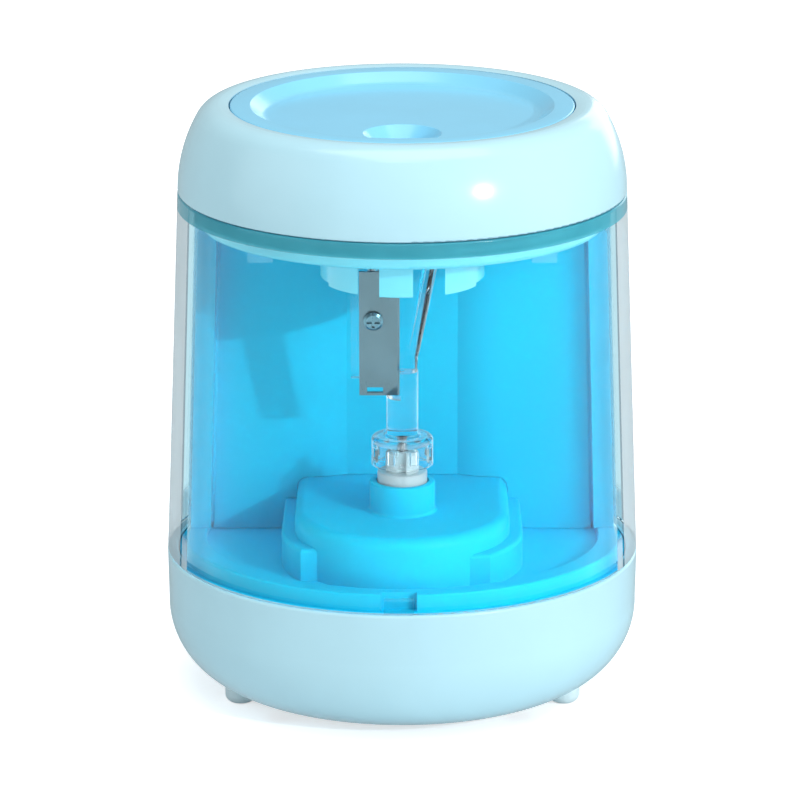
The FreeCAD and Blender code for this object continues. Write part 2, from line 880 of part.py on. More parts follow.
capsule_outline(hollow, V.ped_r - V.ped_wall)
pocket(tray, hollow, V.ped_top_z - V.ped_roof - V.tray_under_z + V.gap, flip=True)
hub = new_sketch(tray, "hub", lift=V.ped_top_z - V.bite)
circle(hub, 0, V.cutter_y, V.hub_r)
pad(tray, hub, V.hub_top_z - V.ped_top_z + V.bite)
hub_reach = V.hub_r.value + V.bite.value
soften(tray, "hub_foot", V.hub_foot_r, lambda p, e: abs(p.z - V.ped_top_z.value) < 0.01
       and math.hypot(p.x, p.y - V.cutter_y.value) < hub_reach)
soften(tray, "hub_edge", V.hub_edge_r, lambda p, e: abs(p.z - V.hub_top_z.value) < 0.01)
arcs = new_sketch(tray, "arc_ribs", lift=V.tray_floor_z - V.bite)
for side, deep in ((-1, V.arc_left_deep), (1, V.arc_right_deep)):
    inner = V.ped_r - V.arc_bite
    outer = V.arc_r
    inner_x = (inner * inner - deep * deep).root() * side
    outer_x = (outer * outer - deep * deep).root() * side
    outline(arcs, [
        (outer_x, V.cutter_y - deep), (outer * side, V.cutter_y, outer, side),
        (outer * side, V.wall_y - V.bite), (inner * side, V.wall_y - V.bite), (inner * side, V.cutter_y),
        (inner_x, V.cutter_y - deep, inner, -side)])
pad(tray, arcs, V.arc_top_z - V.tray_floor_z + V.bite)
arc_reach = (V.ped_r.value + V.arc_r.value) / 2 - V.bite.value
soften(tray, "arc_tops", V.arc_edge_r, lambda p, e: abs(p.z - V.arc_top_z.value) < 0.01
       and p.y < V.wall_y.value - V.bite.value * 2
       and math.hypot(p.x, min(0, p.y - V.cutter_y.value)) > arc_reach)
tray_posts = new_sketch(tray, "tray_posts", lift=V.tray_under_z + V.bite)
for x, y in corners(V.post_x, V.post_y):
    circle(tray_posts, x, y, V.post_r - V.bite)
pad(tray, tray_posts, V.tray_under_z - V.post_top_z, flip=True)
hub_seat = new_sketch(tray, "hub_seat", lift=V.hub_seat_z)
circle(hub_seat, 0, V.cutter_y, V.hub_seat_r)
pocket(tray, hub_seat, V.through, flip=True)
hub_bore = new_sketch(tray, "hub_bore", lift=V.ped_top_z - V.ped_roof - V.bite)
circle(hub_bore, 0, V.cutter_y, V.bush_r)
pocket(tray, hub_bore, V.through, flip=True)
motor_hole = new_sketch(tray, "motor_hole", lift=V.ped_top_z - V.ped_roof - V.bite)
circle(motor_hole, 0, V.motor_y, V.nose_hole_r)
circle(motor_hole, V.motor_screw_x, V.motor_y, V.motor_screw_hole_r)
circle(motor_hole, -V.motor_screw_x, V.motor_y, V.motor_screw_hole_r)
pocket(tray, motor_hole, V.through, flip=True)
pilot = new_sketch(tray, "pilot_holes", lift=V.post_top_z - V.bite)
for x, y in corners(V.post_x, V.post_y):
    circle(pilot, x, y, V.pilot_r)
pocket(tray, pilot, V.pilot_deep, flip=True)
ear_holes = new_sketch(tray, "ear_holes", lift=V.tray_under_z - V.bite)
for side in (1, -1):
    circle(ear_holes, V.ear_x * side, V.ear_front_y, V.ear_pilot_r)
    circle(ear_holes, V.ear_x * side, V.ear_back_y, V.ear_pilot_r)
pocket(tray, ear_holes, V.ear_pilot_deep, flip=True)
notch = new_sketch(tray, "latch_notch", lift=V.base_top_z)
box_outline(notch, V.notch_mid_x - V.notch_wide / 2, V.notch_mid_x + V.notch_wide / 2,
            -V.base_rim_r, -V.notch_in_r)
pocket(tray, notch, V.through, flip=True)
wire_hole = new_sketch(tray, "wire_hole", lift=V.tray_under_z - V.bite)
circle(wire_hole, V.room_wire_x, V.room_wire_y, V.room_wire_r)
pocket(tray, wire_hole, V.through, flip=True)
keep(tray, "floor_tray")

# wall behind the cutter, its middle panel set back between two soft bends
wall = new_body("wall_body")
wall_low = V.tray_floor_z + V.gap
wall_plan = new_sketch(wall, "wall_plan", lift=wall_low)
wall_back = V.wall_y + V.wall_thick
panel_y = V.wall_y + V.panel_deep
outline(wall_plan, [
    (-V.wall_half, V.wall_y),
    (-V.panel_bend_x, V.wall_y),
    (-V.panel_half, panel_y, V.panel_bend_r, 1),
    (V.panel_half, panel_y),
    (V.panel_bend_x, V.wall_y, V.panel_bend_r, 1),
    (V.wall_half, V.wall_y),
    (V.wall_half, wall_back),
    (V.panel_bend_x, wall_back),
    (V.panel_half, panel_y + V.wall_thick),
    (-V.panel_half, panel_y + V.wall_thick),
    (-V.panel_bend_x, wall_back),
    (-V.wall_half, wall_back)])
pad(wall, wall_plan, V.wall_top_z - wall_low)
tapers = new_sketch(wall, "tapers", "XZ_Plane")
for side in (-1, 1):
    outline(tapers, [
        (V.wall_half * side, wall_low), ((V.wall_half + V.bite) * side, wall_low),
        ((V.wall_half + V.bite) * side, V.wall_top_z), (V.wall_half_top * side, V.wall_top_z)])
pocket(wall, tapers, V.through, middle=True)
side_front = wall_back.value - V.bite.value
panel_front = panel_y.value + V.bite.value
soften(wall, "wall_edge", V.wall_edge_r, lambda p, e: abs(p.z - V.wall_top_z.value) < 0.01
       and abs(p.x) < V.wall_half_top.value - V.bite.value
       and p.y < (panel_front if abs(p.x) < V.panel_half.value else side_front))
saddle = new_sketch(wall, "saddle", "XZ_Plane")
saddle_x = V.ped_r + V.saddle_gap
saddle_z = V.ped_top_z + V.gap
saddle_r = V.ped_edge_r + V.gap
outline(saddle, [
    (-saddle_x, wall_low - V.bite), (saddle_x, wall_low - V.bite), (saddle_x, saddle_z - saddle_r),
    (saddle_x - saddle_r, saddle_z, saddle_r, 1), (saddle_r - saddle_x, saddle_z),
    (-saddle_x, saddle_z - saddle_r, saddle_r, 1)])
pocket(wall, saddle, V.through, middle=True)
keep(wall, "partition_wall")

# half-round cover of the motor room with rails for the wall and air slots at the back
room = new_body("room_body")
room_side = new_sketch(room, "room_side", "XZ_Plane")
room_low = V.tray_rim_z + V.gap
rail_top = V.wall_top_z - 1
outline(room_side, [
    (V.room_low_r - V.room_wall, room_low),
    (V.room_low_r, room_low),
    (V.room_top_r, V.wall_top_z - V.room_edge_r),
    (V.room_top_r - V.room_edge_r, V.wall_top_z, V.room_edge_r, 1),
    (0, V.wall_top_z),
    (0, V.wall_top_z - V.room_wall),
    (V.room_top_r - V.room_wall, V.wall_top_z - V.room_wall)])
turned(room, room_side)
front_cut = new_sketch(room, "front_cut", lift=V.tray_floor_z)
box_outline(front_cut, -V.through, V.through, -V.through, V.room_front_y)
pocket(room, front_cut, V.through, flip=True)
lip_half = V.wall_half_top + V.gap * 4
lip_cut = new_sketch(room, "lip_cut", lift=V.wall_top_z - V.room_wall * 2)
lip_front = V.room_front_y - V.bite
outline(lip_cut, [
    (-lip_half, lip_front), (lip_half, lip_front),
    (lip_half, wall_back + V.gap), (V.panel_bend_x, wall_back + V.gap),
    (V.panel_half, panel_y + V.wall_thick + V.gap), (-V.panel_half, panel_y + V.wall_thick + V.gap),
    (-V.panel_bend_x, wall_back + V.gap), (-lip_half, wall_back + V.gap)])
pocket(room, lip_cut, V.through, flip=True)
rails = new_sketch(room, "rails", "XZ_Plane", lift=-wall_back - V.gap)
lips = new_sketch(room, "lips", "XZ_Plane", lift=-V.room_front_y)
for side in (-1, 1):
    outline(rails, [
        (V.rail_in_x * side, room_low), (V.rail_low_x * side, room_low),
        (V.rail_top_x * side, rail_top), (V.rail_in_x * side, rail_top)])
    outline(lips, [
        (V.lip_low_x * side, room_low), (V.lip_low_out_x * side, room_low),
        (V.lip_top_out_x * side, rail_top), (V.lip_top_x * side, rail_top)])
pad(room, rails, V.rail_deep, flip=True)
pad(room, lips, wall_back + V.lip_deep - V.room_front_y, flip=True)
vents = new_sketch(room, "vents", "XZ_Plane", lift=-V.room_low_r / 2)
for step in (-2, -1, 0, 1, 2):
    mid = V.vent_wide * 2 * step
    box_outline(vents, mid - V.vent_wide / 2, mid + V.vent_wide / 2, V.vent_low_z, V.vent_low_z + V.vent_high)
pocket(room, vents, V.room_low_r)
keep(room, "rear_cover")

# plate that closes the gearbox from below, with the seat of the drive tube
gear_plate = new_body("gear_plate_body")
plate_face = new_sketch(gear_plate, "plate_face", lift=V.plate_low_z)
capsule_outline(plate_face, V.plate_r)
pad(gear_plate, plate_face, V.plate_top_z - V.plate_low_z)
for name, y in (("front", V.ear_front_y), ("back", V.ear_back_y)):
    ears = new_sketch(gear_plate, "ears_" + name, lift=V.plate_low_z)
    outline(ears, [
        (V.ear_x, y - V.ear_r), (V.ear_x + V.ear_r, y, V.ear_r, 1), (V.ear_x, y + V.ear_r, V.ear_r, 1),
        (-V.ear_x, y + V.ear_r), (-V.ear_x - V.ear_r, y, V.ear_r, 1), (-V.ear_x, y - V.ear_r, V.ear_r, 1)])
    pad(gear_plate, ears, V.plate_top_z - V.plate_low_z)
plate_boss = new_sketch(gear_plate, "plate_boss", lift=V.plate_low_z + V.bite)
circle(plate_boss, 0, V.cutter_y, V.boss_r)
pad(gear_plate, plate_boss, V.boss_high, flip=True)
plate_seat = new_sketch(gear_plate, "plate_seat", lift=V.tube_low_z - V.tube_seat_lift)
circle(plate_seat, 0, V.cutter_y, V.tube_r + V.tube_play)
pocket(gear_plate, plate_seat, V.through, flip=True)
plate_holes = new_sketch(gear_plate, "plate_holes", lift=V.plate_low_z - V.boss_high * 2)
circle(plate_holes, 0, V.cutter_y, V.button_r + V.button_play)
for side in (1, -1):
    circle(plate_holes, V.ear_x * side, V.ear_front_y, V.ear_hole_r)
    circle(plate_holes, V.ear_x * side, V.ear_back_y, V.ear_hole_r)
pocket(gear_plate, plate_holes, V.through, flip=True)
far = V.tooth_module * (V.pinion_teeth + V.idler_teeth) / 2
near = V.tooth_module * (V.idler_small_teeth + V.final_teeth) / 2
span = V.motor_y - V.cutter_y
along = (span * span + near * near - far * far) / (span * 2)
idler_y = V.cutter_y + along
idler_x = (near * near - along * along).root()
pin_hole = new_sketch(gear_plate, "pin_hole", lift=V.plate_low_z - V.bite)
circle(pin_hole, idler_x, idler_y, V.pin_r)
pocket(gear_plate, pin_hole, V.through, flip=True)
keep(gear_plate, "gearbox_plate")

# idler pin, standing in the plate
keep(rod("idler_pin_rod", V.pin_r, V.plate_low_z, V.ped_top_z - V.ped_roof, idler_x, idler_y), "idler_pin")

# gear train, every pair in mesh at rest
lead_low = math.atan2(along.value, idler_x.value)
lead_high = math.atan2(V.motor_y.value - idler_y.value, -idler_x.value)
half_turn = math.pi


def gear_ring(name, teeth, low, high, turn, x, y):
    """Toothed ring of the gear train."""
    ring = DOC.addObject("Part::Feature", name)
    ring.Shape = involute_gear(int(teeth.value), low.value, high.value, turn)
    place(ring, x, y)
    return ring


final_ring = gear_ring("final_ring", V.final_teeth, V.low_gear_z, V.low_gear_top_z, lead_low, 0, V.cutter_y)
final_hub = rod("final_hub", V.final_hub_r, V.low_gear_z - V.gear_step, V.low_gear_top_z + V.gear_step,
                0, V.cutter_y)
final_bore = rod("final_bore", V.tube_r, V.plate_low_z, V.ped_top_z, 0, V.cutter_y)
final_holes = []
for number in range(6):
    turn = math.pi * number / 3
    final_holes.append(rod("final_hole_%d" % number, V.final_hole_r, V.plate_low_z, V.ped_top_z,
                           V.final_hole_at * math.cos(turn), V.cutter_y + V.final_hole_at * math.sin(turn)))
final_solid = fused("final_solid", [final_ring, final_hub])
keep(cut("final_cut", final_solid, fused("final_tools", [final_bore] + final_holes)), "final_gear")

small_turn = lead_low + half_turn + half_turn / V.idler_small_teeth.value
idler_small = gear_ring("idler_small", V.idler_small_teeth, V.low_gear_z - V.bite, V.high_gear_z + V.gap,
                        small_turn, idler_x, idler_y)
idler_big = gear_ring("idler_big", V.idler_teeth, V.high_gear_z, V.high_gear_top_z, lead_high,
                      idler_x, idler_y)
idler_low = rod("idler_low", V.idler_hub_r, V.plate_top_z + V.idler_end_gap, V.low_gear_z, idler_x, idler_y)
idler_high = rod("idler_high", V.idler_hub_r, V.high_gear_top_z - V.bite,
                 V.ped_top_z - V.ped_roof - V.idler_end_gap, idler_x, idler_y)
idler_bore = rod("idler_bore", V.pin_r + V.pin_play, V.plate_low_z, V.ped_top_z, idler_x, idler_y)
idler_solid = fused("idler_solid", [idler_big, idler_small, idler_low, idler_high])
keep(cut("idler_cut", idler_solid, idler_bore), "idler_gear")

pinion_turn = lead_high + half_turn + half_turn / V.pinion_teeth.value
pinion_ring = gear_ring("pinion_ring", V.pinion_teeth, V.high_gear_z - V.bite, V.high_gear_top_z + V.gear_step,
                        pinion_turn, 0, V.motor_y)
pinion_bore = rod("pinion_bore", V.shaft_r, V.plate_low_z, V.ped_top_z, 0, V.motor_y)
keep(cut("pinion_cut", pinion_ring, pinion_bore), "pinion")

# motor: can, end cap, magnets, tabs and the parts that spin inside
can = new_body("can_body")
can_side = new_sketch(can, "can_side", "XZ_Plane")
bore = V.shaft_r + V.pin_play
outline(can_side, [
    (bore, V.motor_low_z - V.nose_high), (V.nose_r, V.motor_low_z - V.nose_high), (V.nose_r, V.motor_low_z),
    (V.motor_r - V.motor_wall, V.motor_low_z),
    (V.motor_r, V.motor_low_z + V.motor_wall, V.motor_wall, 1),
    (V.motor_r, V.motor_top_z), (V.motor_r - V.motor_wall, V.motor_top_z),
    (V.motor_r - V.motor_wall, V.motor_low_z + V.motor_wall), (bore, V.motor_low_z + V.motor_wall)])
turned(can, can_side)
can_holes = new_sketch(can, "can_holes", lift=V.motor_low_z - V.bite)
circle(can_holes, V.motor_screw_x, 0, V.motor_thread_r)
circle(can_holes, -V.motor_screw_x, 0, V.motor_thread_r)
pocket(can, can_holes, V.motor_wall + V.bite * 2, flip=True)
place(can, None, V.motor_y)
keep(can, "motor_can")

end_cap = new_body("end_cap_body")
end_side = new_sketch(end_cap, "end_side", "XZ_Plane")
plug_r = V.motor_r - V.motor_wall - V.gap
end_face = V.motor_top_z + V.end_plug
outline(end_side, [
    (bore, V.motor_top_z - V.end_plug), (plug_r, V.motor_top_z - V.end_plug), (plug_r, V.motor_top_z),
    (V.motor_r, V.motor_top_z), (V.motor_r, end_face - V.end_edge), (V.motor_r - V.end_edge, end_face),
    (V.nose_r, end_face), (V.nose_r, V.motor_end_z), (0, V.motor_end_z), (0, V.motor_end_z - V.end_roof),
    (bore, V.motor_end_z - V.end_roof)])
turned(end_cap, end_side)
place(end_cap, None, V.motor_y)
keep(end_cap, "motor_end_cap")

magnet_out = rod("magnet_out", plug_r, V.magnet_low_z, V.magnet_top_z, 0, V.motor_y)
magnet_in = rod("magnet_in", plug_r - V.magnet_thick, V.motor_low_z, V.motor_top_z, 0, V.motor_y)
magnet_split = block("magnet_split", -V.magnet_split, V.magnet_split, V.motor_y - V.motor_r,
                     V.motor_y + V.motor_r, V.motor_low_z, V.motor_top_z)
keep(cut("magnet_cut", magnet_out, fused("magnet_tools", [magnet_in, magnet_split])), "motor_magnets")

tab_one = block("tab_one", -V.tab_half, V.tab_half, -V.tab_thick / 2, V.tab_thick / 2, 0, V.tab_high)
tab_eye = rod("tab_eye", V.tab_eye_r, -V.tab_half, V.tab_half)
tab_eye.Placement = FreeCAD.Placement(VEC(), FreeCAD.Rotation(VEC(1, 0, 0), 90))
place(tab_eye, 0, V.tab_half, V.tab_eye_z)
tab_whole = cut("tab_whole", tab_one, tab_eye)
tabs = copies("tab_group", tab_whole, [(V.motor_screw_x * side, V.motor_y, end_face) for side in (1, -1)])
keep(tabs, "motor_terminals")

axle_top = V.motor_end_z - V.end_roof - V.idler_end_gap
keep(rod("motor_axle", V.shaft_r, V.high_gear_z - V.gear_step, axle_top, 0, V.motor_y), "motor_shaft")
pole_round = rod("pole_round", V.pole_r, V.pole_low_z, V.pole_top_z, 0, V.motor_y)
pole_tools = [rod("pole_bore", V.shaft_r, V.motor_low_z, V.motor_top_z, 0, V.motor_y)]
for number in range(3):
    slot = block("pole_slot_%d" % number, V.pole_root_r, V.motor_r, -V.pole_slot_half, V.pole_slot_half,
                 V.motor_low_z, V.motor_top_z)
    slot.Placement.Rotation = FreeCAD.Rotation(VEC(0, 0, 1), 30 + 120 * number)
    lean = math.radians(30 + 120 * number)
    place(slot, V.pole_root_r * math.cos(lean) + V.pole_slot_half * math.sin(lean),
          V.motor_y + V.pole_root_r * math.sin(lean) - V.pole_slot_half * math.cos(lean))
    pole_tools.append(slot)
keep(cut("pole_cut", pole_round, fused("pole_tools", pole_tools)), "armature")
collar_out = rod("collar_out", V.collar_r, V.collar_low_z, V.collar_top_z, 0, V.motor_y)
collar_in = rod("collar_in", V.shaft_r, V.motor_low_z, V.motor_top_z, 0, V.motor_y)
keep(cut("collar_cut", collar_out, collar_in), "commutator")

# drive: bush in the hub, hollow shaft, white post with four grooves
bush_out = rod("bush_out", V.bush_r, V.ped_top_z - V.ped_roof, V.hub_seat_z - V.gap, 0, V.cutter_y)
bush_in = rod("bush_in", V.tube_r + V.tube_play, V.plate_top_z, V.core_top_z, 0, V.cutter_y)
keep(cut("bush_cut", bush_out, bush_in), "hub_bush")
tube_out = rod("tube_out", V.tube_r, V.tube_low_z, V.tube_top_z, 0, V.cutter_y)
tube_in = rod("tube_in", V.tube_bore_r, V.plate_low_z, V.core_top_z, 0, V.cutter_y)
keep(cut("tube_cut", tube_out, tube_in), "drive_shaft")
post = new_body("post_body")
post_side = new_sketch(post, "post_side", "XZ_Plane")
outline(post_side, [
    (V.tube_r, V.ring_low_z), (V.ring_r, V.ring_low_z), (V.ring_r, V.ring_top_z - V.ring_edge),
    (V.ring_r - V.ring_edge, V.ring_top_z, V.ring_edge, 1), (V.core_r, V.ring_top_z),
    (V.core_r, V.core_top_z - V.core_edge), (V.core_r - V.core_edge, V.core_top_z),
    (V.tube_bore_r, V.core_top_z), (V.tube_bore_r, V.tube_top_z + V.tube_play),
    (V.tube_r, V.tube_top_z + V.tube_play)])
turned(post, post_side)
groove = new_sketch(post, "post_groove", lift=V.ring_top_z)
box_outline(groove, V.core_r - V.groove_deep, V.core_r + V.groove_deep, -V.groove_half, V.groove_half)
around(post, pocket(post, groove, V.through, flip=True), 4)
place(post, None, V.cutter_y)
keep(post, "drive_post")

# clear carrier: windowed crown over the post, neck, cone for the pencil, wing behind the blade
carrier = new_body("carrier_body")
carrier_side = new_sketch(carrier, "carrier_side", "XZ_Plane")
crown_in = V.crown_r - V.crown_wall
outline(carrier_side, [
    (0, V.crown_top_z - V.crown_roof), (crown_in, V.crown_top_z - V.crown_roof), (crown_in, V.crown_low_z),
    (V.crown_r, V.crown_low_z), (V.crown_r, V.crown_top_z - V.crown_edge_r),
    (V.crown_r - V.crown_edge_r, V.crown_top_z, V.crown_edge_r, 1), (V.neck_r + V.neck_foot_r, V.crown_top_z),
    (V.neck_r, V.crown_top_z + V.neck_foot_r, V.neck_foot_r, -1), (V.neck_r, V.cone_low_z),
    (V.cone_r, V.cone_top_z), (0, V.cone_top_z)])
turned(carrier, carrier_side)


def blade_y(z):
    """Distance of the blade plane from the axis at one height."""
    return (V.cone_apex_z - z) * V.cone_slope


wing = new_sketch(carrier, "wing", "YZ_Plane")
outline(wing, [
    (blade_y(V.wing_low_z), V.wing_low_z), (blade_y(V.wing_low_z) + V.wing_thick, V.wing_low_z),
    (blade_y(V.cone_top_z) + V.wing_thick, V.cone_top_z), (blade_y(V.cone_top_z), V.cone_top_z)])
pad(carrier, wing, V.wing_x, flip=True)
cone = new_sketch(carrier, "cone", "XZ_Plane")
cone_low = V.cone_apex_z + V.cone_tip
cone_high = V.cone_top_z + V.gap
outline(cone, [
    (0, cone_low), ((cone_low - V.cone_apex_z) * V.cone_slope, cone_low),
    ((cone_high - V.cone_apex_z) * V.cone_slope, cone_high), (0, cone_high)])
turned(carrier, cone, "Groove")
blade_cut = new_sketch(carrier, "blade_cut", "YZ_Plane", lift=V.blade_play - V.blade_right)
cut_low = V.cone_apex_z - V.blade_cut_below
outline(blade_cut, [
    (-V.through, cut_low), (blade_y(cut_low), cut_low),
    (blade_y(cone_high), cone_high), (-V.through, cone_high)])
pocket(carrier, blade_cut, V.through)
slot_cut = new_sketch(carrier, "slot_cut", "YZ_Plane", lift=-V.blade_right)
slot_low = V.cone_apex_z + V.slot_above
outline(slot_cut, [
    (-V.through, slot_low), (blade_y(slot_low) + V.slot_deep, slot_low),
    (blade_y(cone_high) + V.slot_deep, cone_high), (-V.through, cone_high)])
pocket(carrier, slot_cut, V.through, flip=True)
window = new_sketch(carrier, "window", "XZ_Plane")
window.AttachmentOffset = FreeCAD.Placement(VEC(), FreeCAD.Rotation(VEC(0, 1, 0), 22.5))
box_outline(window, -V.window_half, V.window_half,
            V.crown_low_z + V.window_low, V.crown_low_z + V.window_high)
around(carrier, pocket(carrier, window, V.crown_r + V.gap, flip=True), 8)
drive_rib = new_sketch(carrier, "drive_rib", lift=V.crown_low_z + V.neck_foot_r)
box_outline(drive_rib, V.core_r - V.neck_foot_r, crown_in + V.gap, -V.drive_rib_half, V.drive_rib_half)
rib_high = V.crown_top_z - V.crown_roof - V.crown_low_z - V.neck_foot_r + V.gap
around(carrier, pad(carrier, drive_rib, rib_high), 4)
rod_hole = new_sketch(carrier, "rod_hole", lift=V.crown_top_z - V.crown_roof - V.bite)
circle(rod_hole, 0, 0, V.rod_r)
pocket(carrier, rod_hole, V.rod_top_z - V.crown_top_z + V.crown_roof + V.bite, flip=True)
screw_hole = new_sketch(carrier, "screw_hole", "XZ_Plane")
tilt = FreeCAD.Rotation(VEC(1, 0, 0), V.cone_lean.value)
screw_hole.AttachmentOffset = FreeCAD.Placement(VEC(0, V.cone_apex_z.value, 0), tilt)
circle(screw_hole, V.screw_x, V.screw_up, V.screw_shank_r)
pocket(carrier, screw_hole, V.wing_thick * 2, middle=True)
place(carrier, None, V.cutter_y)
keep(carrier, "cutter_carrier")

# blade lying on the carrier's flat, and the screw that holds it
blade = new_body("blade_body")
blade_face = new_sketch(blade, "blade_face", "XZ_Plane")
top = V.blade_long - V.blade_below
box_outline(blade_face, -V.blade_left, -V.blade_right, -V.blade_below, top)
box_outline(blade_face, -V.eye_left, -V.eye_right, V.eye_low - V.blade_below, V.eye_high - V.blade_below)
circle(blade_face, V.screw_x, V.screw_up, V.screw_eye_r)
pad(blade, blade_face, V.blade_thick)
DOC.recompute()
blade_flat = blade.Tip
sharp = [i for i, e in enumerate(blade_flat.Shape.Edges, 1)
         if e.BoundBox.XMin > -V.blade_right.value - 0.01 and e.BoundBox.YMax < 0.01 - V.blade_thick.value]
bevel = blade.newObject("PartDesign::Chamfer", "bevel")
bevel.Base = (blade_flat, ["Edge%d" % i for i in sharp])
bind(bevel, "Size", V.blade_bevel)
blade.Tip = bevel
blade.Placement = FreeCAD.Placement(VEC(), tilt)
place(blade, None, V.cutter_y - V.blade_lift, V.cone_apex_z)
keep(blade, "blade")
held = screw("blade_screw_body", V.screw_head_r, V.screw_head_high, V.screw_shank_r, V.screw_long)
spot = tilt.multVec(VEC(V.screw_x.value, -V.blade_thick.value - V.blade_lift.value, V.screw_up.value))
held.Placement = FreeCAD.Placement(spot + VEC(0, V.cutter_y.value, V.cone_apex_z.value),
                                   FreeCAD.Rotation(VEC(1, 0, 0), V.cone_lean.value - 90))
keep(held, "blade_screw")
keep(rod("push_rod_rod", V.rod_r, V.rod_low_z, V.rod_top_z, 0, V.cutter_y), "push_rod")

# switch under the rod, and its button
switch_block = block("switch_block", -V.switch_wide / 2, V.switch_wide / 2, V.cutter_y - V.switch_deep / 2,
                     V.cutter_y + V.switch_deep / 2, V.switch_low_z, V.switch_top_z)
switch_well = rod("switch_well", V.button_r + V.button_play, V.switch_low_z + V.switch_floor, V.plate_low_z,
                  0, V.cutter_y)
keep(cut("switch_cut", switch_block, switch_well), "switch_body")
keep(rod("button_rod", V.button_r, V.button_low_z, V.button_top_z, 0, V.cutter_y), "switch_button")

# lift-off cover: clear sleeve with its latch tab
sleeve = new_body("sleeve_body")
sleeve_side = new_sketch(sleeve, "sleeve_side", "XZ_Plane")
sleeve_lean = (V.sleeve_low_r - V.sleeve_top_r) / (V.sleeve_top_z - V.sleeve_low_z)
flange_root = V.sleeve_top_r - V.sleeve_wall + (V.sleeve_top_z - V.flange_low_z) * sleeve_lean
outline(sleeve_side, [
    (V.sleeve_low_r - V.sleeve_wall, V.sleeve_low_z), (V.sleeve_low_r - V.sleeve_edge_r, V.sleeve_low_z),
    (V.sleeve_low_r, V.sleeve_low_z + V.sleeve_edge_r, V.sleeve_edge_r, 1),
    (V.sleeve_top_r, V.sleeve_top_z - V.sleeve_edge_r),
    (V.sleeve_top_r - V.sleeve_edge_r, V.sleeve_top_z, V.sleeve_edge_r, 1),
    (V.spigot_r, V.sleeve_top_z), (V.spigot_r, V.spigot_z),
    (V.spigot_r - V.spigot_wall, V.spigot_z), (V.spigot_r - V.spigot_wall, V.sleeve_top_z),
    (V.flange_r, V.sleeve_top_z), (V.flange_r, V.flange_low_z), (flange_root, V.flange_low_z)])
turned(sleeve, sleeve_side)
tab = new_sketch(sleeve, "latch_tab", lift=V.sleeve_low_z)
tab_half = V.notch_wide / 2 - V.tab_side_gap
box_outline(tab, V.notch_mid_x - tab_half, V.notch_mid_x + tab_half,
            V.sleeve_wall - V.sleeve_low_r - V.tab_root, -V.notch_in_r - V.tab_front_gap)
pad(sleeve, tab, V.tab_tall)
keep(sleeve, "clear_sleeve")

# cap ring with the ledge the disc sits on
cap = new_body("cap_body")
cap_side = new_sketch(cap, "cap_side", "XZ_Plane")
outline(cap_side, [
    (V.cap_low_r - V.cap_edge_r, V.cap_low_z),
    (V.cap_low_r, V.cap_low_z + V.cap_edge_r, V.cap_edge_r, 1),
    (V.cap_bend_r, V.cap_bend_z, V.cap_side_round, 1),
    (V.cap_crest_r, V.cap_crest_z, V.cap_top_round, 1),
    (V.cap_hole_r, V.cap_crest_z - V.cap_lip_drop, V.cap_lip_round, 1),
    (V.cap_hole_r, V.cap_ledge_z),
    (V.cap_ledge_r, V.cap_ledge_z),
    (V.cap_ledge_r, V.cap_ledge_z - V.cap_ledge),
    (V.cap_bend_r - V.cap_wall, V.cap_ledge_z - V.cap_ledge),
    (V.cap_step_r, V.cap_step_z),
    (V.spigot_r + V.spigot_gap, V.spigot_z + V.spigot_gap),
    (V.spigot_r + V.spigot_gap, V.cap_low_z)])
turned(cap, cap_side)
keep(cap, "top_cap")

# dished top disc with the pencil mouth, its guide tube and three screw studs
insert = new_body("insert_body")
insert_side = new_sketch(insert, "insert_side", "XZ_Plane")
outline(insert_side, [
    (0, V.insert_low_z), (V.insert_r, V.insert_low_z), (V.insert_r, V.insert_rim_z - V.insert_edge_r),
    (V.insert_r - V.insert_edge_r, V.insert_rim_z, V.insert_edge_r, 1), (V.insert_rim_r, V.insert_rim_z),
    (V.insert_floor_r, V.insert_floor_z, V.insert_dish_round, -1), (0, V.insert_floor_z)])
turned(insert, insert_side)
soften(insert, "dish_edge", V.dish_edge_r, lambda p, e: abs(p.z - V.insert_rim_z.value) < 0.01
       and abs(math.hypot(p.x, p.y) - V.insert_rim_r.value) < 0.05)
stud_spots = []
for number in range(3):
    lean = math.radians(90 + 120 * number)
    stud_spots.append((V.stud_at * math.cos(lean), V.stud_at * math.sin(lean)))
guide = new_sketch(insert, "guide_tube", lift=V.insert_low_z + V.bite)
circle(guide, 0, V.cutter_y, V.guide_r)
pad(insert, guide, V.insert_low_z + V.bite - V.guide_low_z, flip=True)
studs = new_sketch(insert, "studs", lift=V.insert_low_z + V.bite)
for x, y in stud_spots:
    circle(studs, x, y, V.stud_r)
pad(insert, studs, V.insert_low_z + V.bite - V.disc_top_z - V.tube_play, flip=True)
stud_holes = new_sketch(insert, "stud_holes", lift=V.disc_top_z)
for x, y in stud_spots:
    circle(stud_holes, x, y, V.stud_hole_r)
pocket(insert, stud_holes, V.stud_hole_deep, flip=True)
mouth = new_sketch(insert, "mouth", "XZ_Plane", lift=-V.cutter_y)
mouth_low = V.insert_floor_z - V.mouth_deep
bore_low = V.guide_low_z - V.bite
mouth_high = V.insert_rim_z + V.bite
outline(mouth, [
    (0, bore_low), (V.bore_r, bore_low), (V.bore_r, mouth_low),
    (V.mouth_r, V.insert_floor_z, V.mouth_round, -1), (V.mouth_r, mouth_high), (0, mouth_high)])
turned(insert, mouth, "Groove")
keep(insert, "top_insert")

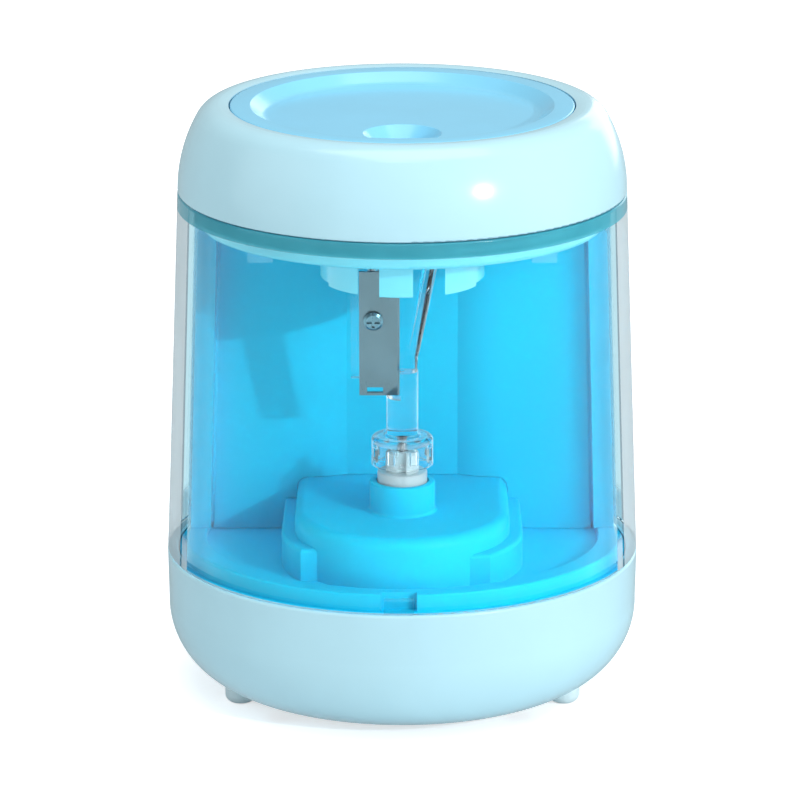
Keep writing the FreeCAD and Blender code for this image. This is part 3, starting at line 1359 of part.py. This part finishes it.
# guide plate under the cap with the skirt round the cutter and two clips
disc = new_body("disc_body")
disc_side = new_sketch(disc, "disc_side", "XZ_Plane")
outline(disc_side, [
    (0, V.disc_low_z), (V.disc_r - V.disc_low_edge, V.disc_low_z),
    (V.disc_r, V.disc_low_z + V.disc_low_edge, V.disc_low_edge, 1), (V.disc_r, V.disc_top_z - V.disc_top_edge),
    (V.disc_r - V.disc_top_edge, V.disc_top_z, V.disc_top_edge, 1), (V.neck_ring_r, V.disc_top_z),
    (V.neck_ring_r, V.neck_ring_top_z), (V.neck_ring_r - V.neck_ring_wall, V.neck_ring_top_z),
    (V.neck_ring_r - V.neck_ring_wall, V.disc_top_z), (0, V.disc_top_z)])
turned(disc, disc_side)
skirt = new_sketch(disc, "skirt", lift=V.disc_low_z + V.bite)
circle(skirt, 0, V.cutter_y, V.skirt_r)
circle(skirt, 0, V.cutter_y, V.skirt_r - V.skirt_wall)
pad(disc, skirt, V.disc_low_z + V.bite - V.skirt_low_z, flip=True)
soften(disc, "skirt_edge", V.skirt_edge_r, lambda p, e: abs(p.z - V.skirt_low_z.value) < 0.01)
clips = new_sketch(disc, "clips", lift=V.disc_low_z + V.bite)
for side in (-1, 1):
    box_outline(clips, V.clip_x * side - V.clip_half, V.clip_x * side + V.clip_half,
                V.clip_y - V.clip_thick / 2, V.clip_y + V.clip_thick / 2)
pad(disc, clips, V.disc_low_z + V.bite - V.clip_low_z, flip=True)
skirt_gaps = new_sketch(disc, "skirt_gaps", lift=V.skirt_low_z - V.bite)
skirt_front = V.cutter_y - V.skirt_r - V.bite
box_outline(skirt_gaps, V.gap_left_x, V.gap_left_end_x, skirt_front, V.cutter_y - V.gap_back)
box_outline(skirt_gaps, V.gap_right_x, V.gap_right_end_x, skirt_front, V.cutter_y - V.gap_back)
pocket(disc, skirt_gaps, V.disc_low_z - V.skirt_low_z + V.bite, flip=True)
skirt_ends = new_sketch(disc, "skirt_ends", lift=V.skirt_low_z - V.bite)
for side in (-1, 1):
    box_outline(skirt_ends, V.skirt_end_x * side, (V.skirt_r + V.bite) * side,
                V.cutter_y - V.guide_r, V.cutter_y + V.guide_r)
pocket(disc, skirt_ends, V.skirt_end_high + V.bite, flip=True)
disc_holes = new_sketch(disc, "disc_holes", lift=V.disc_low_z - V.bite)
circle(disc_holes, 0, V.cutter_y, V.guide_r + V.guide_play)
for x, y in stud_spots:
    circle(disc_holes, x, y, V.stud_way_r)
pocket(disc, disc_holes, V.disc_top_z - V.disc_low_z + V.bite * 2, flip=True)
disc_seats = new_sketch(disc, "disc_seats", lift=V.disc_low_z - V.bite)
for x, y in stud_spots:
    circle(disc_seats, x, y, V.stud_seat_r)
pocket(disc, disc_seats, V.stud_seat + V.bite, flip=True)
keep(disc, "guide_plate")

# groups of screws
chassis = screw("chassis_screw", V.chassis_head_r, V.chassis_head_high, V.chassis_shank_r, V.chassis_long)
keep(copies("chassis_group", chassis, [(x, y, V.post_seat_z) for x, y in corners(V.post_x, V.post_y)]),
     "chassis_screws")
gear_screw = screw("gear_screw", V.gear_head_r, V.gear_head_high, V.gear_shank_r, V.gear_long)
keep(copies("gear_screw_group", gear_screw, [
    (V.ear_x * side, y, V.plate_low_z) for side in (1, -1) for y in (V.ear_front_y, V.ear_back_y)]),
    "gearbox_screws")
motor_screw = screw("motor_screw", V.motor_head_r, V.motor_head_high, V.motor_shank_r, V.motor_long)
keep(copies("motor_screw_group", motor_screw, [
    (V.motor_screw_x * side, V.motor_y, V.ped_top_z - V.ped_roof) for side in (1, -1)]), "motor_screws")
cover_screw = screw("cover_screw", V.cover_head_r, V.cover_head_high, V.cover_shank_r, V.cover_long)
cover_seats = [(x, y, V.disc_low_z + V.stud_seat) for x, y in stud_spots]
keep(copies("cover_screw_group", cover_screw, cover_seats), "cover_screws")


def finish():
    """Check every object and write one file per sub-part."""
    DOC.recompute()
    bad = [o.Name for o in DOC.Objects if {"Invalid", "Error"} & set(o.State)]
    for node in NODES:
        if node.Shape.isNull() or not node.Shape.isValid():
            bad.append(node.Label)
    if bad:
        raise RuntimeError("not built: " + ", ".join(bad))
    os.makedirs("parts", exist_ok=True)
    for node in NODES:
        node.Shape.exportStep("parts/%s.step" % node.Label)


finish()
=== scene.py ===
import math

import bmesh
import bpy
import numpy as np
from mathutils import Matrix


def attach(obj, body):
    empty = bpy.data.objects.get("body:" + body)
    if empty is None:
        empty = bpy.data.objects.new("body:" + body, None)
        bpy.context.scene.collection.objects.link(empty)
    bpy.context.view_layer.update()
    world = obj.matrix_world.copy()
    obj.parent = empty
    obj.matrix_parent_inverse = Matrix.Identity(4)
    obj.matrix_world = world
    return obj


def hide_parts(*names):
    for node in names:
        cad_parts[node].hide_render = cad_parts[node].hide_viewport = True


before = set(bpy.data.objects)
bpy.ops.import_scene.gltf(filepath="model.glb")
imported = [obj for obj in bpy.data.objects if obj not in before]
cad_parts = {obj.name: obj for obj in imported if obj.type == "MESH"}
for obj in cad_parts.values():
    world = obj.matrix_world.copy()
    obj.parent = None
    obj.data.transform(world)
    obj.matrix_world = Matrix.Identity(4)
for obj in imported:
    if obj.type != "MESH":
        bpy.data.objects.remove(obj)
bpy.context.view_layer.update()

MM = 0.001
# all sizes below are in mm; points nearer to each other than this become one
WELD = 0.001
# bowl's underside, as distance from the axis and height, and the radius of the arc between the two points
BOWL_FLAT = (29.5, 1.2)
BOWL_SIDE = (43.8, 16.7)
BOWL_ROUND = 14.9
# feet: radius, rounding of the lower edge, depth of the top inside the bowl, and places
FOOT_R = 2.9
FOOT_ROUND = 1.6
FOOT_SINK = 0.25
FOOT_SPOTS = [(side * 30.1, end * 14.6) for side in (-1, 1) for end in (-1, 1)]
# bead in the corner of the wall and the cover: ends as distance from the middle and height, cove, and back
WALL_Y = 4.3
BEAD_LOW = (36.12, 29.5)
BEAD_TOP = (34.46, 86.3)
BEAD_R = 0.5
BEAD_BACK = 0.15
# dished disc and its screw studs: distance from the axis, height, shift of the ring along Y, rounding
MOUTH_Y = -15.6
DISC_LINE = [
    (7.4, 106.8, MOUTH_Y, 0), (31.65, 106.8, 0, 0.2), (31.65, 110.7, 0, 0.3), (27.95, 110.7, 0, 0.25),
    (25.24, 108.8, 0, 2.6), (24.0, 108.8, 0, 0), (7.9, 108.8, MOUTH_Y, 0), (7.1, 108.8, MOUTH_Y, 0.25),
    (4.2, 105.6, MOUTH_Y, 0.6), (4.2, 87.0, MOUTH_Y, 0.3), (7.4, 87.0, MOUTH_Y, 0.3),
    (7.4, 106.8, MOUTH_Y, 0)]
STUD_AT = 24.0
STUD_LINE = [
    (0, 106.8, 0, 0), (3.0, 106.8, 0, 0), (3.0, 91.35, 0, 0.2), (1.1, 91.35, 0, 0.2), (1.1, 99.3, 0, 0),
    (0, 99.3, 0, 0)]

# places where a finish changes on its piece, each as the start and end of the step, in mm
# clips under the guide plate, painted a darker blue as the shade they sit in
CLIP_X = (22.5, 22.7)
CLIP_TOP = (88.6, 88.8)
# top flange of the sleeve, painted an opaque dark blue-green as the shade it shows under the cap
FLANGE_Z = (91.75, 91.95)
# sleeve's foot, where pale paint lightens the shaded gap seen through the glass
SLEEVE_FOOT = (31.0, 34.0)
TAB_LEFT = (-3.35, -3.3)
TAB_RIGHT = (2.05, 2.1)
TAB_TOP = (28.34, 28.4)
TAB_BACK = (-39.0, -38.9)
# sleeve: how much nearer the axis it gets for each mm up, and where its outer skin starts at the bottom
SLEEVE_LEAN = 0.03666
SLEEVE_SKIN = (43.2, 43.6)
# slant of the sleeve, 0 face on and 1 edge on, over which each of its parts starts,
# and the light that each part lets through
# the line's dark tint is a painted dark edge line, and the rim a painted pale reflection
SLANT_BLUE = (0.42, 0.56)
SLANT_SIDE = (0.615, 0.63)
SLANT_LINE = (0.675, 0.68)
SLANT_RIM = (0.692, 0.7)
BLUE_TINT = (0.26, 0.59, 0.72, 1.0)
SIDE_TINT = (0.6, 0.73, 0.765, 1.0)
LINE_TINT = (0.45, 0.52, 0.55, 1.0)
RIM_TINT = (0.67, 0.72, 0.735, 1.0)
FLOW_WAVES = 0.02


def paint(red, green, blue):
    """A screen colour of 0 to 255 as the linear colour that shaders use."""
    part = np.array((red, green, blue)) / 255.0
    light = np.where(part <= 0.04045, part / 12.92, ((part + 0.055) / 1.055) ** 2.4)
    return (*light.tolist(), 1.0)


def dimmed(colour, share):
    """A share of a linear colour's light."""
    return (*(share * np.array(colour[:3])).tolist(), 1.0)


class Shade:
    """One socket of a finish's nodes; arithmetic on it adds Math nodes."""

    def __init__(self, tree, socket=None):
        self.tree = tree
        self.socket = socket

    def node(self, kind, settings=None, sockets=None, out=0):
        """Add a node: its settings first, then the values or links of its sockets."""
        made = self.tree.nodes.new("ShaderNode" + kind)
        for name, value in (settings or {}).items():
            setattr(made, name, value)
        for name, value in (sockets or {}).items():
            if isinstance(value, Shade):
                self.tree.links.new(value.socket, made.inputs[name])
            else:
                made.inputs[name].default_value = value
        return Shade(self.tree, made.outputs[out] if made.outputs else None)

    def count(self, kind, first, second):
        """Arithmetic on two values."""
        return self.node("Math", {"operation": kind}, {0: first, 1: second})

    def __add__(self, other):
        return self.count("ADD", self, other)

    def __radd__(self, other):
        return self.count("ADD", other, self)

    def __sub__(self, other):
        return self.count("SUBTRACT", self, other)

    def __rsub__(self, other):
        return self.count("SUBTRACT", other, self)

    def __mul__(self, other):
        return self.count("MULTIPLY", self, other)

    def __rmul__(self, other):
        return self.count("MULTIPLY", other, self)

    def __pow__(self, other):
        return self.count("POWER", self, other)

    def span(self, low, high, first=0.0, last=1.0):
        """Stretch the values low to high onto first to last, smoothly and no further."""
        return self.node("MapRange", {"interpolation_type": "SMOOTHSTEP"},
                         {"Value": self, "From Min": low, "From Max": high, "To Min": first, "To Max": last})

    def tint(self, first, second):
        """Colour from first to second as this value goes from 0 to 1."""
        return self.node("Mix", {"data_type": "RGBA"}, {0: self, 6: first, 7: second}, out=2)

    def spot(self, axis):
        """Place on the piece along one axis, in mm."""
        place = self.node("TexCoord", out="Object")
        return self.node("SeparateXYZ", {}, {"Vector": place}, out=axis) * (1 / MM)

    def slant(self):
        """0 where the surface is seen face on, 1 where it is seen edge on."""
        return self.node("LayerWeight", {}, {"Blend": 0.5}, out="Facing")

    def cloud(self, size, detail=2.0, stretch=(1, 1, 1)):
        """Noise on the piece's own place, size in mm, drawn out along the axes."""
        place = self.node("TexCoord", out="Object")
        if stretch != (1, 1, 1):
            scale = tuple(1.0 / part for part in stretch)
            place = self.node("Mapping", {}, {"Vector": place, "Scale": scale})
        return self.node("TexNoise", {}, {"Vector": place, "Scale": 1.0 / (size * MM), "Detail": detail})

    def raised(self, height, strength, reach):
        """Normal of a surface lifted by a height, reach in mm."""
        return self.node("Bump", {}, {"Strength": strength, "Distance": reach * MM, "Height": height})

    def plastic(self, colours, rough):
        """Shader of a plain plastic."""
        return self.node("BsdfPrincipled", {}, {"Base Color": colours, "Roughness": rough})

    def window(self, tint):
        """Shader that lets a tint of the light straight through."""
        return self.node("BsdfTransparent", {}, {"Color": tint})

    def under(self, top, share):
        """Shader from this one to the one on top as share goes from 0 to 1."""
        return self.node("MixShader", {}, {0: share, 1: self, 2: top})


def new_finish(name):
    """An empty finish and the start of its nodes."""
    made = bpy.data.materials.new(name)
    made.use_nodes = True
    made.node_tree.nodes.clear()
    return made, Shade(made.node_tree)


def shown(made, shader):
    """Send a shader to the finish's output."""
    shader.node("OutputMaterial", {}, {"Surface": shader})
    return made


def moulded(name, colour, gloss, drift=0.05, shine=0.5, patch=None):
    """Moulded plastic: broad drift of colour, rubbed areas in the gloss, fine grain, and a patch if given."""
    made, shade = new_finish(name)
    broad = shade.cloud(28, detail=3.0)
    rubbed = shade.cloud(7, detail=4.0, stretch=(1, 1, 2.5))
    fine = shade.cloud(0.4)
    colours = broad.span(0.3, 0.7).tint(dimmed(colour, 1 - drift), colour)
    if patch:
        where, patch_colour = patch
        colours = where(shade).tint(colours, patch_colour)
    rough = gloss + (rubbed - 0.5) * 0.08 + (fine - 0.5) * 0.05
    return shown(made, shade.node("BsdfPrincipled", {}, {
        "Base Color": colours, "Roughness": rough, "Specular IOR Level": shine,
        "Normal": shade.raised(fine, strength=0.03, reach=0.1)}))


def clips_in_painted_shade(shade):
    """1 on the two clips under the guide plate, which are painted darker as shade, and 0 elsewhere."""
    out = (shade.spot("X") ** 2) ** 0.5
    return out.span(*CLIP_X) * (1 - shade.spot("Z").span(*CLIP_TOP))


def metal(name, colour, gloss=0.3, stretch=(1, 1, 12), size=0.25, marks=0.1):
    """Worked metal: fine lines along the working direction in the bump and the gloss, slight stains."""
    made, shade = new_finish(name)
    lines = shade.cloud(size, detail=3.0, stretch=stretch)
    stain = shade.cloud(6, detail=4.0)
    colours = stain.span(0.25, 0.75).tint(dimmed(colour, 0.82), colour)
    rough = gloss + (lines - 0.5) * 0.25 + (stain - 0.5) * 0.15
    return shown(made, shade.node("BsdfPrincipled", {}, {
        "Base Color": colours, "Metallic": 1.0, "Roughness": rough,
        "Normal": shade.raised(lines, strength=marks, reach=0.05)}))


def glassy(shade, colours, gloss, index):
    """Glass with rubbed patches in the gloss and waves of the moulding flow in the bump."""
    flow = shade.cloud(14, stretch=(1, 1, 3))
    rub = shade.cloud(1.2, detail=5.0, stretch=(1, 1, 6))
    rough = gloss * 0.5 + rub.span(0.45, 0.75, 0.0, gloss)
    return shade.node("BsdfPrincipled", {}, {
        "Base Color": colours, "Roughness": rough, "Transmission Weight": 1.0, "IOR": index,
        "Normal": shade.raised(flow, strength=FLOW_WAVES, reach=0.2)})


def lit_through(shader, tint):
    """The shader to the eye, and an open tinted way to the light of the lamps."""
    return shader.under(shader.window(tint), shader.node("LightPath", out="Is Shadow Ray"))


def clear(name, tint, edge, gloss, index):
    """Clear plastic: glass to the eye, open to lamps, with a painted pale sheen where it is seen edge on."""
    made, shade = new_finish(name)
    slant = shade.slant()
    glass = glassy(shade, slant.span(0.4, 0.8).tint(tint, edge), gloss, index)
    # painted sheen: opaque pale paint mixed in as the surface turns edge on
    painted_pale = shade.plastic(shade.cloud(3).tint(edge, tint), 0.2)
    return shown(made, lit_through(glass.under(painted_pale, slant.span(0.5, 0.95) * 0.6), tint))


def sleeve_outside(shade, slant, glass):
    """Outer skin: clear, then its side, a painted dark line and a rim of painted pale reflection as it turns
    edge on, with pale paint at the foot over the shade seen through it.
    """
    # painted reflection and light: opaque pale paint on the rim, and at the foot over the shade seen through
    painted_pale = shade.plastic(shade.cloud(20).tint(paint(226, 236, 238), paint(236, 245, 247)), 0.3)
    low = 1 - shade.spot("Z").span(*SLEEVE_FOOT)
    side = shade.window(SIDE_TINT).under(painted_pale, low * 0.5)
    rim = shade.window(RIM_TINT).under(painted_pale, 0.4)
    turned = glass.under(side, slant.span(*SLANT_SIDE))
    lined = turned.under(shade.window(LINE_TINT), slant.span(*SLANT_LINE))
    return lined.under(rim, slant.span(*SLANT_RIM))


def sleeve_inside(shade, slant, glass, tint):
    """Inner skin: clear, then open as it turns edge on, and a deeper blue on the latch tab."""
    across = shade.spot("X")
    tab = (across.span(*TAB_LEFT) - across.span(*TAB_RIGHT)) * (1 - shade.spot("Z").span(*TAB_TOP))
    front = tab * (1 - shade.spot("Y").span(*TAB_BACK)) * 0.4
    latch = shade.plastic(shade.cloud(2).tint(paint(24, 178, 208), paint(30, 188, 218)), 0.2)
    return glass.under(shade.window(tint), slant.span(*SLANT_SIDE)).under(latch, front)


def sleeve_glass(name, tint):
    """The sleeve: two skins, told apart by their distance from the axis, and painted shade on its clear
    flange, an opaque dark blue-green.
    """
    made, shade = new_finish(name)
    slant = shade.slant()
    glass = glassy(shade, slant.span(*SLANT_BLUE).tint(tint, BLUE_TINT), gloss=0.03, index=1.26)
    inside = sleeve_inside(shade, slant, glass, tint)
    outside = sleeve_outside(shade, slant, glass)
    reach = (shade.spot("X") ** 2 + shade.spot("Y") ** 2) ** 0.5 + shade.spot("Z") * SLEEVE_LEAN
    wall = inside.under(outside, reach.span(*SLEEVE_SKIN))
    # painted shade: the clear flange gets an opaque dark blue-green, the shaded cap seen in it by internal
    # reflection
    painted_flange_shade = shade.cloud(9).span(0.3, 0.7).tint(paint(58, 162, 182), paint(66, 172, 192))
    flange = wall.under(shade.plastic(painted_flange_shade, 0.15), shade.spot("Z").span(*FLANGE_Z) * 0.85)
    return shown(made, lit_through(flange, tint))


pale_shell = moulded("pale_shell", paint(190, 235, 248), 0.18)
bright_chamber = moulded("bright_chamber", paint(14, 187, 223), 0.4, shine=0.06)
chamber_floor = moulded("chamber_floor", paint(14, 198, 235), 0.36, shine=0.06)
sky_disc = moulded("sky_disc", paint(140, 222, 255), 0.2)
# painted shade: the clips under the guide plate get a darker blue
aqua_guide = moulded("aqua_guide", paint(112, 218, 237), 0.24, patch=(clips_in_painted_shade, paint(66, 188, 222)))
sleeve_clear = sleeve_glass("sleeve_clear", (0.97, 0.995, 1.0, 1.0))
carrier_clear = clear("carrier_clear", tint=(0.93, 0.985, 1.0, 1.0), edge=(0.86, 0.95, 0.98, 1.0),
                      gloss=0.01, index=1.25)
# painted light: the pads are made lighter than the shell, to lift the shade they stand in under the bowl
foot_pad = moulded("foot_pad", paint(228, 250, 255), 0.45)
white_post = moulded("white_post", paint(180, 196, 200), 0.3, drift=0.03)
dark_moulded = moulded("dark_moulded", paint(28, 30, 33), 0.4)
cell_wrap = moulded("cell_wrap", paint(70, 74, 80), 0.3)
blade_steel = metal("blade_steel", paint(104, 132, 141), 0.34, (1, 1, 30), size=0.18, marks=0.05)
blade_stud = metal("blade_stud", paint(104, 146, 160), 0.3, (1, 1, 1))
plain_steel = metal("plain_steel", paint(178, 182, 186))
can_steel = metal("can_steel", paint(168, 172, 176), 0.35, (12, 12, 1))
screw_steel = metal("screw_steel", paint(150, 154, 158), 0.35, (1, 1, 1))
core_iron = metal("core_iron", paint(92, 92, 96), 0.5, (10, 10, 1))
bright_copper = metal("bright_copper", paint(204, 128, 84))
bush_bronze = metal("bush_bronze", paint(176, 132, 72), 0.4, (1, 1, 1))

NODE_FINISH = {
    "base_shell": pale_shell, "top_cap": pale_shell, "battery_door": pale_shell, "rubber_feet": foot_pad,
    "battery_box": white_post, "battery_cells": cell_wrap, "battery_contacts": can_steel,
    "floor_tray": chamber_floor, "partition_wall": bright_chamber, "rear_cover": bright_chamber,
    "gearbox_plate": white_post, "idler_pin": plain_steel, "final_gear": white_post, "idler_gear": white_post,
    "pinion": bush_bronze, "motor_can": can_steel, "motor_end_cap": white_post, "motor_magnets": core_iron,
    "motor_terminals": bright_copper, "motor_shaft": plain_steel, "armature": core_iron,
    "commutator": bright_copper, "hub_bush": bush_bronze, "drive_shaft": plain_steel,
    "drive_post": white_post, "cutter_carrier": carrier_clear, "blade": blade_steel,
    "blade_screw": blade_stud, "push_rod": plain_steel, "switch_body": dark_moulded,
    "switch_button": white_post, "clear_sleeve": sleeve_clear,
    "top_insert": sky_disc, "guide_plate": aqua_guide, "chassis_screws": screw_steel,
    "gearbox_screws": screw_steel, "motor_screws": screw_steel, "cover_screws": screw_steel,
}
for node, finish in NODE_FINISH.items():
    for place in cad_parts[node].material_slots:
        place.material = finish
# the cover's front edges would throw a dark band on the wall, which the photo does not show
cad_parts["rear_cover"].visible_shadow = False


def placed(name, data):
    """A new object in the scene."""
    made = bpy.data.objects.new(name, data)
    bpy.context.scene.collection.objects.link(made)
    return made


def surface(name, points, body, finish):
    """A closed skin over a grid of points, rows of rings, each ring joined end to start."""
    rows, columns = points.shape[:2]
    row = np.arange(rows - 1)[:, None] * columns
    column = np.arange(columns)[None, :]
    after = (column + 1) % columns
    corners = np.stack((row + column, row + after, row + columns + after, row + columns + column), -1)
    mesh = bpy.data.meshes.new(name)
    mesh.from_pydata((points.reshape(-1, 3) * MM).tolist(), [], corners.reshape(-1, 4).tolist())
    welded = bmesh.new()
    welded.from_mesh(mesh)
    bmesh.ops.remove_doubles(welded, verts=welded.verts, dist=WELD * MM)
    bmesh.ops.recalc_face_normals(welded, faces=welded.faces)
    welded.to_mesh(mesh)
    welded.free()
    mesh.shade_smooth()
    mesh.materials.append(finish)
    made = placed(name, mesh)
    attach(made, body)
    return made


def soft_line(corners, steps=7):
    """A line through corners, each rounded by an arc.

    The arc's radius swings about its centre from the square of one leg to the square of the next.
    """
    spots = np.array([corner[:-1] for corner in corners], float)
    runs = [spots[:1]]
    for before, spot, after, corner in zip(spots[:-2], spots[1:-1], spots[2:], corners[1:-1]):
        radius = corner[-1]
        back = (before - spot) / np.linalg.norm(before - spot)
        onward = (after - spot) / np.linalg.norm(after - spot)
        opening = math.acos(back @ onward)
        leg = radius / math.tan(opening / 2)
        centre = spot + (back + onward) / np.linalg.norm(back + onward) * radius / math.sin(opening / 2)
        swing = math.pi - opening
        share = np.linspace(0, 1, steps)[:, None]
        first = spot + back * leg - centre
        last = spot + onward * leg - centre
        arc = centre + (np.sin((1 - share) * swing) * first + np.sin(share * swing) * last) / math.sin(swing)
        runs.append(arc if radius else spot[None])
    return np.concatenate(runs + [spots[-1:]])


def ringed(name, corners, x, y, body, slot, finish, count=192):
    """Level rings strung on a line of radius, height and shift along Y, about an upright axis at x and y."""
    line = soft_line(corners)
    around = np.linspace(0, 2 * math.pi, count, endpoint=False)
    across = x + line[:, :1] * np.cos(around)
    along = y + line[:, 2:] + line[:, :1] * np.sin(around)
    points = np.stack((across, along, line[:, 1:2] + 0 * across), -1)
    return surface(name, points, body, finish)


def bowl_height(out):
    """Height of the bowl's underside at a distance from the axis: flat, then an arc up to its side."""
    low = np.array(BOWL_FLAT)
    high = np.array(BOWL_SIDE)
    half = (high - low) / 2
    rise = math.sqrt(BOWL_ROUND ** 2 - half @ half) / math.hypot(*half)
    middle = low + half + rise * np.array((-half[1], half[0]))
    reach = np.clip(out - middle[0], 0.0, BOWL_ROUND)
    return np.where(out < low[0], low[1], middle[1] - np.sqrt(BOWL_ROUND ** 2 - reach ** 2))


def soft_foot(number, x, y):
    """One pad: a disc that rounds by a quarter circle into a wall, which runs up to the bowl over it."""
    turn = np.linspace(0, math.pi / 2, 13)
    climb = np.linspace(0.2, 1.0, 5)
    flat = FOOT_R - FOOT_ROUND
    rounded = flat + FOOT_ROUND * np.sin(turn)
    out = np.concatenate(([0.0, flat / 2], rounded, np.full(climb.size, FOOT_R), [FOOT_R / 2, 0.0]))
    low = np.concatenate(([0.0, 0.0], FOOT_ROUND * (1 - np.cos(turn)), np.full(climb.size + 2, FOOT_ROUND)))
    share = np.concatenate((np.zeros(turn.size + 2), climb, [1.0, 1.0]))
    around = np.linspace(0, 2 * math.pi, 64, endpoint=False)
    across = x + out[:, None] * np.cos(around)
    along = y + out[:, None] * np.sin(around)
    top = bowl_height(np.hypot(across, along)) + FOOT_SINK
    height = low[:, None] + share[:, None] * np.maximum(top - low[:, None], 0.0)
    points = np.stack((across, along, height), -1)
    return surface("soft_foot_%d" % number, points, "housing", foot_pad)


def corner_bead(name, side):
    """Bead in the corner of wall and cover: a cove of a quarter circle and its back, carried up a line."""
    turn = np.linspace(0, math.pi / 2, 9)
    cove_x = np.concatenate((BEAD_R * (np.sin(turn) - 1), [BEAD_BACK, BEAD_BACK, -BEAD_R]))
    cove_y = np.concatenate((BEAD_R * (np.cos(turn) - 1), [-BEAD_R, BEAD_BACK, BEAD_BACK]))
    share = np.array([0.0, 0.0, 0.25, 0.5, 0.75, 1.0, 1.0])[:, None]
    swell = np.array([0.0, 1.0, 1.0, 1.0, 1.0, 1.0, 0.0])[:, None]
    line_x = BEAD_LOW[0] + share * (BEAD_TOP[0] - BEAD_LOW[0])
    line_z = BEAD_LOW[1] + share * (BEAD_TOP[1] - BEAD_LOW[1])
    across = side * (line_x + swell * cove_x)
    along = WALL_Y + swell * cove_y
    points = np.stack((across, along, line_z + 0 * cove_x), -1)
    return surface(name, points, "housing", bright_chamber)


feet = [soft_foot(number, x, y) for number, (x, y) in enumerate(FOOT_SPOTS, 1)]
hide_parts("rubber_feet")
disc = ringed("dished_disc", DISC_LINE, 0, 0, "cover", "sky_blue", sky_disc)
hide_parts("top_insert")
for number in range(3):
    lean = math.radians(90 + 120 * number)
    spot = (STUD_AT * math.cos(lean), STUD_AT * math.sin(lean))
    ringed("screw_stud_%d" % (number + 1), STUD_LINE, *spot, "cover", "sky_blue", sky_disc, count=48)
corner_bead("left_corner_bead", -1)
corner_bead("right_corner_bead", 1)


def studio_white(name, colour, glow):
    """Floor finish: bright to the eye and through clear pieces, plain to the light that bounces from it."""
    made, shade = new_finish(name)
    colours = shade.cloud(400).span(0.3, 0.7).tint(dimmed(colour, 0.98), colour)
    matt = {"Base Color": colours, "Roughness": 0.9, "Specular IOR Level": 0.0}
    glowing = {"Emission Color": (1.0, 1.0, 1.0, 1.0), "Emission Strength": glow}
    plain = shade.node("BsdfPrincipled", {}, matt)
    bright = shade.node("BsdfPrincipled", {}, {**matt, **glowing})
    return shown(made, bright.under(plain, shade.node("LightPath", out="Is Diffuse Ray")))


def lamp(name, spot, aim, power, wide, high):
    """Soft lamp at a spot, turned to what it lights."""
    data = bpy.data.lights.new(name, "AREA")
    data.energy = power
    data.shape = "RECTANGLE"
    data.size = wide
    data.size_y = high
    made = placed(name, data)
    way = np.array(aim, float) - np.array(spot, float)
    made.location = spot
    made.rotation_euler = (math.atan2(math.hypot(way[0], way[1]), -way[2]), 0, math.atan2(-way[0], way[1]))
    return made


# the studio, in metres: floor, lamps, air and camera
FLOOR_HALF = 6
MIDDLE = (0.0, 0.0, 0.055)
CAP_MIDDLE = (0.0, 0.0, 0.1)
DISC_MIDDLE = (0.0, 0.0, 0.109)
CAMERA_AT = (-0.00042, -0.91325, 0.3159)
CAMERA_DOWN = 15.99

floor_mesh = bpy.data.meshes.new("studio_floor")
floor_corners = [(FLOOR_HALF * x, FLOOR_HALF * y, 0) for x, y in ((-1, -1), (1, -1), (1, 1), (-1, 1))]
floor_mesh.from_pydata(floor_corners, [], [(0, 1, 2, 3)])
floor_mesh.materials.append(studio_white("studio_floor", paint(236, 238, 240), glow=0.62))
floor = placed("studio_floor", floor_mesh)
floor.visible_glossy = False

lamp("key_lamp", (1.074, -1.152, 0.64), CAP_MIDDLE, power=10.5, wide=0.05, high=0.02)
lamp("top_lamp", (0.1, -0.2, 1.6), MIDDLE, power=14.5, wide=1.4, high=1.4)
right_lamp = lamp("right_lamp", (1.55, -0.22, 0.9), MIDDLE, power=7.2, wide=1.8, high=1.8)
right_lamp.visible_glossy = False
lamp("left_lamp", (-1.5, -0.4, 0.5), MIDDLE, power=2.2, wide=1.2, high=1.2)
rear_card = lamp("rear_card", (0.85, 1.9, 0.4), DISC_MIDDLE, power=6, wide=1.1, high=1.0)
rear_card.visible_diffuse = False
rear_card.visible_transmission = False

world = bpy.data.worlds.new("studio_air")
bpy.context.scene.world = world
world.use_nodes = True
air = world.node_tree.nodes["Background"]
air.inputs["Color"].default_value = (0.97, 0.985, 1.0, 1.0)
air.inputs["Strength"].default_value = 0.38

lens = bpy.data.cameras.new("photo_camera")
lens.lens = 229.3
lens.sensor_width = 36.0
camera = placed("photo_camera", lens)
camera.location = CAMERA_AT
camera.rotation_euler = (math.radians(90 - CAMERA_DOWN), 0, 0)
bpy.context.scene.camera = camera
bpy.context.scene.view_settings.view_transform = "Standard"
